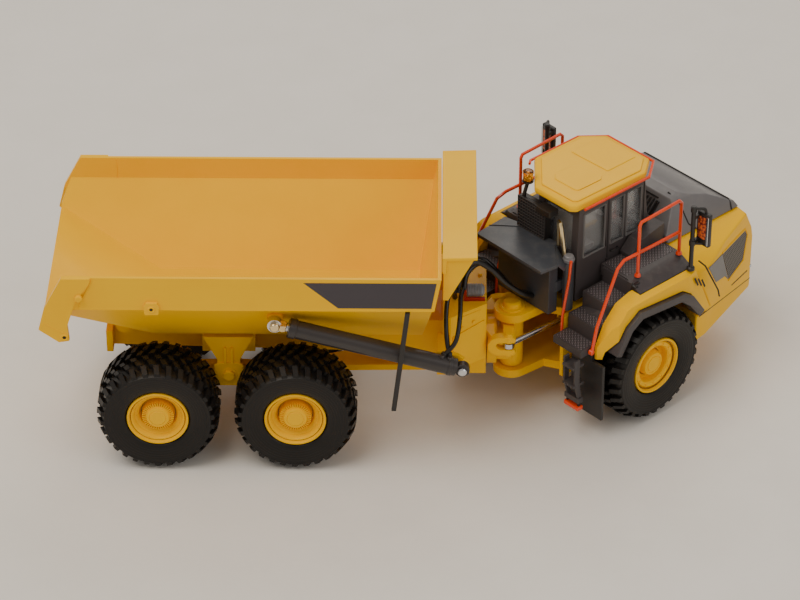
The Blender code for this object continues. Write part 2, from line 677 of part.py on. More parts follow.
def fenders(front):
    """Yellow fender over each front wheel, and its dark trim along the arch."""
    for name, side in SIDES:
        edge = lip_points(True)
        outline = [(11.6, 34.0), (11.0, 31.0), (9.6, 31.0), (9.6, 36.0), (13.2, 43.8),
                   (18.6, 49.6), (25.0, 51.4), (51.9, 51.4), (63.4, 29.0), (57.0, 29.0)]
        outline += [(x, z + 0.35) for x, z in reversed(edge[1:])]
        fender = sided_prism("fender_" + name, outline, (20, 45), side)
        plan = [(9.0, FENDER_IN * side), (9.0, 31.0 * side), (14.8, FENDER_OUT * side),
                (49.0, FENDER_OUT * side), (64.5, 33.4 * side), (64.5, FENDER_IN * side)]
        half = [(y * side, z) for y, z in ((28.0, 20.0), (38.0, 20.0), (38.0, 49.0),
                                           (36.9, 50.2), (28.0, 54.0))]
        common(fender, prism("fender_plan", plan, "z", 10, 70),
               prism("fender_section", half, "x", 0, 80))
        cut(fender, sided_box("deck_room", (DECK_REAR - GAP, DECK_FRONT + GAP), (20.0, 34.5),
                              (DECK_Z - 4.9, 60.0), side))
        attach(paint(fender, "yellow_paint"), front, front)
        lip = sided_prism("arch_lip_" + name, edge + lip_points(False), (33.0, 38.4), side)
        attach(paint(round_edges(lip, 0.4), "grey_paint"), front, front)


def decks(front):
    """Walkway beside the cab with its sloping outer panel, and the stairs behind it."""
    for name, side in SIDES:
        section = [(y * side, z) for y, z in ((CAB_HALF + 0.4, DECK_Z - 4.5),
                                              (CAB_HALF + 0.4, DECK_Z), (DECK_HALF, DECK_Z),
                                              (34.2, DECK_Z - 3.2), (34.2, DECK_Z - 4.5))]
        deck = prism("deck_" + name, section, "x", DECK_REAR, DECK_FRONT)
        steps = [(3.4, 33.6), (3.4, 36.5), (10.4, 36.5), (10.4, 42.5), (17.0, 42.5), (17.0, 48.5),
                 (DECK_REAR - 0.6, 48.5), (DECK_REAR - 0.6, DECK_Z - 0.5),
                 (DECK_REAR + 0.6, DECK_Z - 0.5), (DECK_REAR + 0.6, 46.8), (18.6, 46.4),
                 (12.0, 40.4), (11.0, 33.6)]
        stairs = sided_prism("stairs_" + name, steps, (STAIR_IN, STAIR_OUT), side)
        case = sided_prism("service_box_" + name, [(36.0, DECK_Z - 1.0), (36.0, 56.0), (40.0, 60.0),
                                                   (52.0, 62.5), (52.0, DECK_Z - 1.0)],
                           (CAB_HALF + 0.5, 20.6), side)
        join(deck, stairs, case)
        attach(paint(deck, "grey_paint"), front, front)
        flap = sided_box("front_flap_" + name, (8.4, 9.6), (21.0, 36.0), (8.0, 30.4), side)
        join(flap, sided_box("flap_top", (8.4, 10.6), (21.0, 30.4), (30.0, 33.2), side))
        attach(paint(flap, "black_plastic"), front, front)


def ladders(front):
    """Hanging ladder under the stairs, with a bottom bar."""
    for name, side in SIDES:
        ladder = sided_box("ladder_" + name, (0.0, 5.2), (24.8, 30.2), (29.9, 30.9), side)
        lower = sided_box("tread", (0.4, 5.4), (24.8, 30.2), (22.2, 23.2), side)
        join(ladder, lower)
        for y in (24.6, 29.7):
            rail = sided_prism("ladder_rail", [(0.6, 33.3), (3.0, 33.3), (3.0, 24.0), (4.2, 17.0),
                                               (2.6, 17.0), (0.8, 24.0)], (y, y + 0.8), side)
            join(ladder, rail)
        join(ladder, sided_box("bottom_bar", (2.2, 4.6), (24.2, 30.9), (15.3, 17.3), side))
        attach(paint(ladder, "grey_paint"), front, front)


def handrails(front):
    """Orange rails along the deck and down the stairs, bent from round tube."""
    y = 28.9
    for name, side in SIDES:
        def at(*points):
            return [(x, across * side, z) for x, across, z in points]
        foot = DECK_Z - 0.1
        rail = tube("handrail_" + name, at((31.0, y, foot), (31.0, y, 74.6), (31.8, y, 75.8),
                                           (50.0, y, 76.4), (51.2, y, 75.2), (51.2, y, foot)),
                    RAIL_TUBE)
        lower = tube("mid_rail", at((51.2, y, 63.4), (24.0, y, 63.8), (20.4, y + 0.6, 62.2),
                                    (9.6, STAIR_OUT + 0.95, 44.0), (7.6, STAIR_OUT + 0.95, 34.6)),
                     RAIL_TUBE)
        join(rail, lower)
        inner = tube("grab_rail_" + name, at((11.4, 16.3, 62.9), (10.8, 16.2, 56.0),
                                             (8.2, 16.2, 42.0), (8.0, 16.2, 34.0)), 0.5)
        attach(paint(inner, "orange_paint"), front, front)
        attach(paint(rail, "orange_paint"), front, front)


def cab_block(name, inset, floor):
    """The cab's form moved in by a wall: side view and plan, with its far rear corner cut off."""
    def rear(z):
        return CAB_REAR + inset + (z - CAB_FLOOR) / (CAB_TOP - CAB_FLOOR)
    side_view = [(rear(floor), floor), (CAB_FRONT - inset, floor),
                 (CAB_FRONT - inset, 58.0), (CAB_FRONT - 2.6 - inset, CAB_TOP - inset),
                 (rear(CAB_TOP - inset), CAB_TOP - inset)]
    edge = CAB_HALF - inset
    plan = [(CAB_REAR - 5, -edge), (CAB_FRONT + 5, -edge), (CAB_FRONT + 5, edge),
            (CAB_REAR + CORNER_CUT + inset * 0.4, edge),
            (CAB_REAR + inset, CAB_HALF - CORNER_CUT - inset * 0.4),
            (CAB_REAR - 5, CAB_HALF - CORNER_CUT - inset * 0.4)]
    block = prism(name, side_view, "y", -30, 30)
    return common(block, prism(name + "_plan", plan, "z", 0, 100))


def cab_windows(depth):
    """Cutters for the windows: three a side, one in front and one behind."""
    tools = []
    for name, side in SIDES:
        for low, high in ((18.4, 28.4), (31.2, 37.4), (38.8, 45.8)):
            if side > 0 and low < CAB_REAR + CORNER_CUT:
                continue
            tools.append(sided_prism("window", [(low + 0.6, 61.0), (high + 1.0, 60.2),
                                                (high, 77.8), (low, 78.0)],
                                     (CAB_HALF - depth, CAB_HALF + 3), side))
    tools.append(box("windscreen", (CAB_FRONT - 7, -12.4, 60.5), (CAB_FRONT + 4, 12.4, 77.8)))
    tools.append(box("rear_window", (CAB_REAR - 3, -12.0, 62.5), (CAB_REAR + 4, 1.6, 77.4)))
    return tools


def cab(front):
    """Hollow cab shell, its clear insert, the roof, the inside and the roof rail."""
    shell = cab_block("cab_shell", 0, CAB_FLOOR)
    cut(shell, cab_block("cab_room", CAB_WALL, CAB_FLOOR - 6))
    cut(shell, *cab_windows(3.0))
    attach(paint(shell, "grey_paint"), front, front)

    insert = cab_block("cab_glazing", CAB_WALL + GAP, 57.0)
    cut(insert, cab_block("glass_room", CAB_WALL + GAP + 0.7, 50.0))
    attach(paint(insert, "clear"), front, front)

    roof = prism("cab_roof", ROOF_PLAN, "z", CAB_TOP + GAP, ROOF_TOP)
    attach(paint(round_edges(roof, 0.8), "yellow_paint"), front, front)

    floor_plan = [(18.0, -12.0), (46.6, -12.0), (46.6, 12.0), (30.0, 12.0), (18.0, 0.0)]
    seat = prism("cab_seat", floor_plan, "z", CAB_FLOOR - 2.3, CAB_FLOOR - 0.6)
    join(seat, box("seat_box", (26.0, -4.5, CAB_FLOOR - 1), (34.0, 4.5, 55.0)),
         box("seat_back", (24.0, -4.5, 52.0), (27.0, 4.5, 70.0)),
         box("dashboard", (42.0, -9.0, CAB_FLOOR - 1), (46.4, 9.0, 60.0)))
    attach(paint(seat, "black_plastic"), front, front)

    rail = tube("roof_rail", [(x, y, 82.0) for x, y in ROOF_RAIL], 0.5)
    attach(paint(rail, "orange_paint"), front, front)


def cab_back(front):
    """What stands behind the cab: cooler, cover plate, wall, canister, pipes and beacon."""
    cooler = box("cooler_guard", (11.8, -3.0, 65.0), (14.6, 10.0, 77.0))
    join(cooler, box("cooler_cap", (9.6, -7.0, 76.2), (14.0, -0.6, 78.4)),
         tube("beacon_stalk", [(13.0, 8.6, 70.0), (12.6, 8.2, 78.0), (14.0, 8.0, 82.2)], 0.7))
    attach(paint(cooler, "black_plastic"), front, front)
    plan = [(-2.4, -15.8), (4.6, -16.8), (12.0, -7.6), (13.8, -7.6), (13.8, 8.0), (12.0, 16.8),
            (-2.4, 15.8)]
    cover = prism("rear_cover", plan, "z", 63.4, 64.7)
    join(cover, box("rear_wall", (5.0, -12.5, 41.8), (9.0, 12.5, 63.9)),
         box("canister_arm", (8.0, -13.0, 50.0), (12.4, -11.5, 54.0)),
         rod("air_canister", (12.4, -14.2, 42.2), (12.4, -14.2, 62.0), 1.9, 16))
    attach(paint(cover, "grey_paint"), front, front)
    pipe = tube("exhaust_pipe", [(12.8, -8.8, 65.1), (12.6, -8.8, 73.4), (12.2, -9.2, 75.2),
                                 (11.8, -10.4, 75.2), (11.6, -11.0, 73.4), (12.2, -12.4, 62.4)],
                0.75)
    attach(paint(pipe, "gold"), front, front)
    dome = turned("beacon", [(0, 4.2), (1.7, 3.9), (1.9, 3.4), (1.8, 0.0), (0, 0)],
                  (14.0, 8.0, 82.6), "z", 16)
    attach(paint(dome, "amber"), front, front)


def mirrors(front):
    """Dark post, arms and mirror head at each front corner of the deck."""
    for name, side in SIDES:
        post = rod("mirror_" + name, (50.2, 35.6 * side, 51.4), (50.2, 35.6 * side, 77.4), 0.8, 12)
        head = sided_box("head", (52.6, 54.4), (35.0, 40.6), (61.5, 74.5), side, 0.4)
        upper = sided_box("upper_arm", (50.0, 53.6), (35.2, 36.4), (72.4, 73.6), side)
        lower = sided_box("lower_arm", (50.0, 53.6), (35.2, 36.4), (62.6, 63.8), side)
        join(post, head, upper, lower)
        attach(paint(post, "black_plastic"), front, front)


def build():
    clear_scene()
    rear = empty("rear_unit", (-CENTRE_X, -CENTRE_Y, 0))
    front = empty("front_unit", (HITCH_X, 0, 0), rear, STEER_ANGLE)
    body_pivot = empty("pivot_tip", (TIP_X, 0, TIP_Z), rear)
    for name, side in SIDES:
        wheel("rear_1_" + name, 0, side, rear)
        wheel("rear_2_" + name, BOGIE_LENGTH, side, rear)
        wheel("front_" + name, FRONT_AXLE_X, side, front)
    bogie(rear, rear_frame(rear))
    dump_body(rear, body_pivot)
    spill_guard(rear, body_pivot)
    mudflaps(rear, body_pivot)
    hoist_rams(rear, body_pivot)
    hitch_knuckle(rear)
    steering_rams(front)
    front_frame(front)
    attach(paint(front_axle(front), "yellow_paint"), front, front)
    nose(front)
    hood(front)
    fenders(front)
    decks(front)
    ladders(front)
    handrails(front)
    cab(front)
    cab_back(front)
    mirrors(front)


build()
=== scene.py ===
"""Looks of an articulated dump truck, a 1:50 die-cast model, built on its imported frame.

Lengths are in millimetres in two sets of axes, one for each half of the truck. In both, x points
forward, y to the driver's left and z up from the floor. The rear half is measured from its
rearmost axle and the front half from the hitch post.
"""
import json
import math

import bmesh
import bpy
import numpy as np
from bpy.props import FloatProperty, FloatVectorProperty, IntProperty, PointerProperty
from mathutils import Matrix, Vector

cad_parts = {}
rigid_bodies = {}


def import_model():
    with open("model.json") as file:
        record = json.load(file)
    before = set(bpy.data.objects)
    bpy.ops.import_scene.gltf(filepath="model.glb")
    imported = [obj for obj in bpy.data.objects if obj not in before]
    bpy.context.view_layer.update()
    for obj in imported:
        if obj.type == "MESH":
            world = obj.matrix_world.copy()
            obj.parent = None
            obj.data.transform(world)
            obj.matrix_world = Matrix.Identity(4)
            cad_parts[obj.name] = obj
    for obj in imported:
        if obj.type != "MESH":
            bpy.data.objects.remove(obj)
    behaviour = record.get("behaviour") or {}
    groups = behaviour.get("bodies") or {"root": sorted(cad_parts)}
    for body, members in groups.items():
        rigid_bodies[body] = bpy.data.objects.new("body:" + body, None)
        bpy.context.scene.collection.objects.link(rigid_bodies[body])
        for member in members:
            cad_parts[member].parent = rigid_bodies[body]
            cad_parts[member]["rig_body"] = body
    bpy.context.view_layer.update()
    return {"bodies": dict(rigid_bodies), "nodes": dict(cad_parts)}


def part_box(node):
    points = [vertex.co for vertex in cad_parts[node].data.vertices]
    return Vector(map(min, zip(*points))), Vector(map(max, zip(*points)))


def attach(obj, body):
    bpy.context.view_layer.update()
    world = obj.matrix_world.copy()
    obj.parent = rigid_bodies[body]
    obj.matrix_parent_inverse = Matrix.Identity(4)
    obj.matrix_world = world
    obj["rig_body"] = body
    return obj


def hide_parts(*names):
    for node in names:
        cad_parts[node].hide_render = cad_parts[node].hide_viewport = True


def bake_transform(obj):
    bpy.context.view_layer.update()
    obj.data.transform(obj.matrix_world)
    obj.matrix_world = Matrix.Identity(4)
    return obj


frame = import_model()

bl_info = {
    "name": "Articulated dump truck looks",
    "version": (1, 0, 0),
    "blender": (4, 5, 0),
    "location": "3D View > Sidebar > Dump truck",
    "description": "Finishes and fine pieces of a die-cast articulated dump truck",
    "category": "Object",
}

MM = 0.001
WELD = 2e-6  # points this close, in metres, are one
THIN = 1e-6  # an edge this short has no length
FLAT_ANGLE = math.radians(0.6)
BEVEL_ANGLE = math.radians(30)
CAST_ANGLE = 32
FRONT_AXLE_X = 32.7
SIDES = ("left", "right")
WHEELS = tuple(axle + side for axle in ("rear_1_", "rear_2_", "front_") for side in SIDES)


# ---------------------------------------------------------------- places


def middle(node):
    """The centre of a cast part's box, in metres."""
    low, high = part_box(node)
    return (np.array(low) + np.array(high)) / 2


class Half:
    """One half of the truck: turns its millimetres into the frame's metres.

    point = origin + x * forward + y * left + z * up.
    """

    def __init__(self, origin, forward):
        self.origin = np.array(origin, float)
        forward = np.array(forward, float)
        self.axes = np.array([forward, np.cross((0, 0, 1), forward), (0, 0, 1)])

    def __call__(self, points):
        return self.origin + np.asarray(points, float) * MM @ self.axes

    def at(self, place):
        """The same directions from another origin, in metres."""
        return Half(place, self.axes[0])


def find_halves():
    """The two halves' places, from where their wheels are."""
    back = (middle("tyre_rear_1_left") + middle("tyre_rear_1_right")) / 2
    fore = (middle("tyre_rear_2_left") + middle("tyre_rear_2_right")) / 2
    forward = (fore - back) / np.linalg.norm(fore - back)
    rear = Half((back[0], back[1], 0), forward)
    left, right = middle("tyre_front_left"), middle("tyre_front_right")
    across = (left - right) / np.linalg.norm(left - right)
    forward = np.cross(across, (0, 0, 1))
    hub = (left + right) / 2 - forward * FRONT_AXLE_X * MM
    return rear, Half((hub[0], hub[1], 0), forward)


REAR, FRONT = find_halves()
BODY_HALF = {name: REAR for name in frame["bodies"]}
BODY_HALF.update(
    {name: FRONT for name in frame["bodies"] if name.startswith(("front_unit", "wheel_front"))}
)


# ---------------------------------------------------------------- shapes: (points, faces) in mm


def joined(*shapes):
    """Several shapes as one: their points one after another, their faces counted on."""
    points, faces, count = [], [], 0
    for more, sides in shapes:
        points.append(np.asarray(more, float).reshape(-1, 3))
        faces += [tuple(corner + count for corner in side) for side in sides]
        count += len(points[-1])
    return np.concatenate(points), faces


def mirrored(shape):
    """The same shape on the other side: y turned round, and its faces with it."""
    points, faces = shape
    return np.asarray(points, float) * (1, -1, 1), [tuple(reversed(side)) for side in faces]


def both(shape):
    """A shape and its mirror image."""
    return joined(shape, mirrored(shape))


def on_side(shape, side):
    """A shape made for the left side, put on the side asked for."""
    return shape if side == "left" else mirrored(shape)


def rings(grid, closed_along=False):
    """A skin over grid[i, j]: i runs along and j around; each four neighbours are one face.

    The ends are shut with one face each, unless the rings themselves close on each other.
    """
    along, around = grid.shape[:2]
    index = np.arange(along * around).reshape(along, around)
    first = index if closed_along else index[:-1]
    second = np.roll(index, -1, axis=0) if closed_along else index[1:]
    quads = np.stack(
        [first, np.roll(first, -1, axis=1), np.roll(second, -1, axis=1), second], axis=-1
    )
    faces = [tuple(side) for side in quads.reshape(-1, 4).tolist()]
    if not closed_along:
        faces += [tuple(index[0].tolist()), tuple(index[-1, ::-1].tolist())]
    return grid.reshape(-1, 3), faces


def turned(profile, steps=72, closed=False):
    """A profile of (radius, along) turned about y: point = (r sin t, along, r cos t)."""
    radius, along = np.array(profile, float).T
    turn = np.linspace(0, 2 * math.pi, steps, endpoint=False)
    grid = np.empty((len(radius), steps, 3))
    grid[..., 0] = radius[:, None] * np.sin(turn)
    grid[..., 1] = along[:, None]
    grid[..., 2] = radius[:, None] * np.cos(turn)
    return rings(grid, closed)


def smooth_path(points, steps):
    """A curve through the points: on each stretch, the cubic whose slopes are half the way
    from the point before to the point after."""
    knots = np.array(points, float)
    knots = np.concatenate([[2 * knots[0] - knots[1]], knots, [2 * knots[-1] - knots[-2]]])
    a, b, c, d = (knots[k:len(knots) - 3 + k, None] for k in range(4))
    t = np.linspace(0, 1, steps, endpoint=False)[None, :, None]
    curve = b + t * (c - a) / 2 + t**2 * (a - 2.5 * b + 2 * c - d / 2)
    curve = curve + t**3 * (1.5 * (b - c) + (d - a) / 2)
    return np.concatenate([curve.reshape(-1, 3), knots[-2:-1]])


def tube(path, radius, sides=12, steps=6, closed=False):
    """A round section carried along a path: point = centre + radius * (n cos t + b sin t)."""
    path = smooth_path(path, steps) if steps > 1 else np.array(path, float)
    if closed:
        line = np.roll(path, -1, axis=0) - np.roll(path, 1, axis=0)
    else:
        line = np.gradient(path, axis=0)
    line = line / np.linalg.norm(line, axis=1)[:, None]
    steady = np.linalg.svd(path - path.mean(axis=0))[2][-1]
    first = steady - (line @ steady)[:, None] * line
    first /= np.linalg.norm(first, axis=1)[:, None]
    second = np.cross(line, first)
    turn = np.linspace(0, 2 * math.pi, sides, endpoint=False)[None, :, None]
    spread = first[:, None] * np.cos(turn) + second[:, None] * np.sin(turn)
    reach = np.broadcast_to(np.asarray(radius, float), (len(path),))
    return rings(path[:, None] + reach[:, None, None] * spread, closed)


def spindle(start, end, profile, steps=32):
    """A profile of (share of the way, radius) turned about the line from start to end."""
    start, end = np.array(start, float), np.array(end, float)
    share, radius = np.array(profile, float).T
    line = (end - start) / np.linalg.norm(end - start)
    steady = np.eye(3)[np.argmin(np.abs(line))]
    first = np.cross(line, steady)
    first /= np.linalg.norm(first)
    second = np.cross(line, first)
    turn = np.linspace(0, 2 * math.pi, steps, endpoint=False)[:, None]
    spread = first * np.cos(turn) + second * np.sin(turn)
    centre = start + share[:, None] * (end - start)
    return rings(centre[:, None] + radius[:, None, None] * spread)


def pin(centre, axis, low, high, profile, steps=32):
    """A profile turned about a line along axis 0, 1 or 2, placed by its two other coordinates."""
    centre = np.array(centre, float)
    return spindle(np.insert(centre, axis, low), np.insert(centre, axis, high), profile, steps)


def plate(outline, depth):
    """A flat outline of points carried straight along one step, shut at both ends."""
    outline = np.array(outline, float)
    return rings(np.stack([outline, outline + np.array(depth, float)]))


def slab(outline, axis, low, high):
    """An outline of two coordinates carried from low to high along axis 0, 1 or 2."""
    flat = np.insert(np.array(outline, float), axis, low, axis=1)
    return plate(flat, np.eye(3)[axis] * (high - low))


def oblong(near, far, axis, low, high):
    """A slab whose outline is the upright rectangle between two opposite corners."""
    return slab((near, (far[0], near[1]), far, (near[0], far[1])), axis, low, high)


def blocks(centres, size, axes=None, crown=1.0):
    """Small six-sided blocks: corner = centre + half size * (+-1, +-1, +-1) along the axes.

    The corners on the +z side are drawn in by crown.
    """
    centres = np.array(centres, float).reshape(-1, 3)
    sign = np.stack(np.meshgrid([-1, 1], [-1, 1], [-1, 1], indexing="ij"), axis=-1).reshape(8, 3)
    sign = sign * np.where(sign[:, 2:] > 0, (crown, crown, 1), 1.0)
    reach = sign * np.array(size, float) / 2
    axes = np.eye(3) if axes is None else np.array(axes, float)
    corners = reach @ axes if axes.ndim == 2 else np.einsum("kc,nca->nka", reach, axes)
    return block_skin(centres[:, None] + corners)


def block_skin(corners):
    """Six faces on each row of eight corners, which run low to high in the first, second and third."""
    sides = np.array(
        [(0, 1, 3, 2), (4, 6, 7, 5), (0, 4, 5, 1), (2, 3, 7, 6), (0, 2, 6, 4), (1, 5, 7, 3)]
    )
    count = len(corners)
    faces = sides[None] + 8 * np.arange(count)[:, None, None]
    return corners.reshape(-1, 3), [tuple(side) for side in faces.reshape(-1, 4).tolist()]


def bolts(centres, direction, radius, height):
    """Hexagon heads: at each centre, six sides carried up and drawn in at the top."""
    up = np.array(direction, float) * height
    profile = ((0, radius), (0.75, radius), (1, radius * 0.78))
    return joined(*(spindle(centre, np.array(centre, float) + up, profile, 6) for centre in centres))


def eyelet(centre, reach, radius):
    """A round bead on a circle: point on the circle = centre + reach * (cos t, 0, sin t)."""
    turn = np.linspace(0, 2 * math.pi, 20, endpoint=False)
    ring = np.stack([reach * np.cos(turn), 0 * turn, reach * np.sin(turn)], axis=1)
    return tube(np.array(centre, float) + ring, radius, 8, 1, True)


def strip(path, radius=0.18):
    """A thin straight-sided bead along a path, for a seam, crease or wire."""
    return tube(path, radius, 8, 1)


# ---------------------------------------------------------------- pieces


def clean_mesh(name, points, faces):
    """One mesh in metres, with doubles merged, faces outward and sharp edges kept."""
    mesh = bpy.data.meshes.new(name)
    mesh.from_pydata(np.asarray(points, float), [], faces)
    shell = bmesh.new()
    shell.from_mesh(mesh)
    bmesh.ops.remove_doubles(shell, verts=shell.verts, dist=WELD)
    bmesh.ops.dissolve_degenerate(shell, edges=shell.edges, dist=THIN)
    bmesh.ops.recalc_face_normals(shell, faces=shell.faces)
    shell.to_mesh(mesh)
    shell.free()
    return mesh


def linked(name, data):
    """A new thing of the scene, made of its data."""
    holder = bpy.data.objects.new(name, data)
    bpy.context.scene.collection.objects.link(holder)
    return holder


def finish_piece(mesh, body, finish, soften, stands_for, angle):
    """Puts a mesh on its body with its finish, and rounds its sharp edges a little."""
    mesh.materials.clear()
    mesh.materials.append(bpy.data.materials[finish])
    mesh.shade_smooth()
    mesh.set_sharp_from_angle(angle=math.radians(angle))
    piece = linked(mesh.name, mesh)
    if soften:
        edge = piece.modifiers.new("Soft edges", "BEVEL")
        edge.width = soften * MM
        edge.segments = 2
        edge.limit_method = "ANGLE"
        edge.angle_limit = BEVEL_ANGLE
        edge.use_clamp_overlap = True
        edge.harden_normals = True
    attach(piece, body)
    if stands_for:
        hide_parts(*stands_for)
    return piece


def piece(name, body, shape, finish, slot=None, soften=0, stands_for=(), angle=35, place=None):
    """A new piece from a shape in millimetres, in the half of the truck its body belongs to."""
    place = place or BODY_HALF[body]
    points, faces = shape
    mesh = clean_mesh(name, place(points), faces)
    return finish_piece(mesh, body, finish, soften, stands_for, angle)


def pairs(*rows):
    """Pieces shaped for the left side, made on both: a row is a piece's values, with * for the side."""
    for side in SIDES:
        for name, body, shape, *rest in rows:
            rest = [value.replace("*", side) if isinstance(value, str) else value for value in rest]
            piece(name.replace("*", side), body.replace("*", side), on_side(shape, side), *rest)


def softened(node, finish, soften):
    """A cast part's own shape with its flat faces made whole and its edges rounded."""
    source = frame["nodes"][node].data
    points = np.empty(len(source.vertices) * 3)
    source.vertices.foreach_get("co", points)
    corners = np.empty(len(source.loops), int)
    source.loops.foreach_get("vertex_index", corners)
    mesh = bpy.data.meshes.new(node + "_cast")
    mesh.from_pydata(points.reshape(-1, 3), [], corners.reshape(-1, 3).tolist())
    shell = bmesh.new()
    shell.from_mesh(mesh)
    bmesh.ops.remove_doubles(shell, verts=shell.verts, dist=WELD)
    bmesh.ops.dissolve_limit(
        shell, angle_limit=FLAT_ANGLE, verts=shell.verts, edges=shell.edges
    )
    shell.to_mesh(mesh)
    shell.free()
    body = frame["nodes"][node]["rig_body"]
    return finish_piece(mesh, body, finish, soften, (node,), CAST_ANGLE)


def paint(node, finish):
    """A cast part keeps its mesh and takes a finish in its material slots."""
    part = frame["nodes"][node]
    if not part.material_slots:
        part.data.materials.append(None)
    for place in part.material_slots:
        place.material = bpy.data.materials[finish]


# ---------------------------------------------------------------- finishes


class Recipe:
    """Builds a node tree: add() makes a node, sets its inputs and links them."""

    def __init__(self, tree):
        self.tree = tree

    def add(self, kind, inputs=None, **settings):
        node = self.tree.nodes.new(kind)
        for name, value in settings.items():
            setattr(node, name, value)
        for key, value in (inputs or {}).items():
            if isinstance(value, bpy.types.NodeSocket):
                self.tree.links.new(value, node.inputs[key])
            else:
                node.inputs[key].default_value = value
        return node

    def maths(self, operation, first, second=0.0, third=None):
        """One sum on up to three values."""
        inputs = {0: first, 1: second}
        if third is not None:
            inputs[2] = third
        return self.add("ShaderNodeMath", inputs, operation=operation).outputs[0]

    def noise(self, place, scale, **more):
        """Noise with so many waves to the metre."""
        inputs = {"Vector": place, "Scale": scale, **more}
        return self.add("ShaderNodeTexNoise", inputs).outputs["Fac"]

    def effect(self, name, inputs):
        """A shared effect with its own values."""
        return self.add("ShaderNodeGroup", inputs, node_tree=bpy.data.node_groups[name])

    def blend(self, factor, first, second):
        """A colour between two colours."""
        node = self.add("ShaderNodeMix", {0: factor, 6: first, 7: second}, data_type="RGBA")
        return node.outputs[2]

    def ramp(self, value, low, high):
        """0 below low and 1 above high, with a smooth rise."""
        node = self.add(
            "ShaderNodeMapRange",
            {"Value": value, "From Min": low, "From Max": high},
            interpolation_type="SMOOTHSTEP",
        )
        return node.outputs[0]


def new_group(name, inputs, outputs):
    """An empty shared effect with its named sockets."""
    tree = bpy.data.node_groups.new(name, "ShaderNodeTree")
    for label, kind, default in inputs:
        socket = tree.interface.new_socket(label, in_out="INPUT", socket_type=kind)
        if default is not None:
            socket.default_value = default
    for label, kind in outputs:
        tree.interface.new_socket(label, in_out="OUTPUT", socket_type=kind)
    recipe = Recipe(tree)
    return recipe, recipe.add("NodeGroupInput"), recipe.add("NodeGroupOutput")


VALUE, COLOUR, VECTOR = "NodeSocketFloat", "NodeSocketColor", "NodeSocketVector"
SLOW_WAVES, DUST_WAVES = 38.0, 260.0  # to the metre


def grain_group():
    """Paint and plastic skin: fine grain height, and a slow unevenness of colour and gloss."""
    recipe, given, made = new_group(
        "Skin grain",
        (
            ("Vector", VECTOR, None),
            ("Colour", COLOUR, (1, 1, 1, 1)),
            ("Shade", COLOUR, (0, 0, 0, 1)),
            ("Grain size", VALUE, 0.0006),
            ("Unevenness", VALUE, 0.2),
            ("Gloss low", VALUE, 0.2),
            ("Gloss high", VALUE, 0.35),
        ),
        (("Colour", COLOUR), ("Roughness", VALUE), ("Height", VALUE)),
    )
    per_metre = recipe.maths("DIVIDE", 1.0, given.outputs["Grain size"])
    fine = recipe.noise(given.outputs["Vector"], per_metre, Detail=3.0)
    slow = recipe.noise(given.outputs["Vector"], SLOW_WAVES, Detail=4.0, Roughness=0.6)
    drift = recipe.ramp(slow, 0.3, 0.7)
    share = recipe.maths("MULTIPLY", drift, given.outputs["Unevenness"])
    colour = recipe.blend(share, given.outputs["Colour"], given.outputs["Shade"])
    span = recipe.maths("SUBTRACT", given.outputs["Gloss high"], given.outputs["Gloss low"])
    mixed = recipe.maths("MULTIPLY", recipe.maths("ADD", fine, drift), 0.5)
    rough = recipe.maths("MULTIPLY_ADD", span, mixed, given.outputs["Gloss low"])
    recipe.tree.links.new(colour, made.inputs["Colour"])
    recipe.tree.links.new(rough, made.inputs["Roughness"])
    recipe.tree.links.new(fine, made.inputs["Height"])


def dust_group():
    """A thin film of dust: more on faces that look up, broken by noise."""
    recipe, given, made = new_group(
        "Dust film",
        (
            ("Vector", VECTOR, None),
            ("Colour", COLOUR, (1, 1, 1, 1)),
            ("Dust", COLOUR, (0.4, 0.36, 0.3, 1)),
            ("Amount", VALUE, 0.1),
        ),
        (("Colour", COLOUR), ("Mask", VALUE)),
    )
    normal = recipe.add("ShaderNodeNewGeometry").outputs["Normal"]
    up = recipe.add("ShaderNodeSeparateXYZ", {0: normal}).outputs[2]
    speckle = recipe.noise(given.outputs["Vector"], DUST_WAVES, Detail=5.0, Roughness=0.7)
    film = recipe.maths("MULTIPLY", recipe.ramp(up, -0.2, 1.0), recipe.ramp(speckle, 0.42, 0.75))
    mask = recipe.maths("MULTIPLY", film, given.outputs["Amount"])
    colour = recipe.blend(mask, given.outputs["Colour"], given.outputs["Dust"])
    recipe.tree.links.new(colour, made.inputs["Colour"])
    recipe.tree.links.new(mask, made.inputs["Mask"])


def in_pitches(recipe, given):
    """A place's three parts, counted in pitches."""
    per_metre = recipe.maths("DIVIDE", 1.0, given.outputs["Pitch"])
    inputs = {0: given.outputs["Vector"], 3: per_metre}
    scaled = recipe.add("ShaderNodeVectorMath", inputs, operation="SCALE")
    return recipe.add("ShaderNodeSeparateXYZ", {0: scaled.outputs[0]}).outputs


def past_middle(recipe, value):
    """How far a value is past the middle of its cell."""
    return recipe.maths("SUBTRACT", recipe.maths("FRACT", value), 0.5)


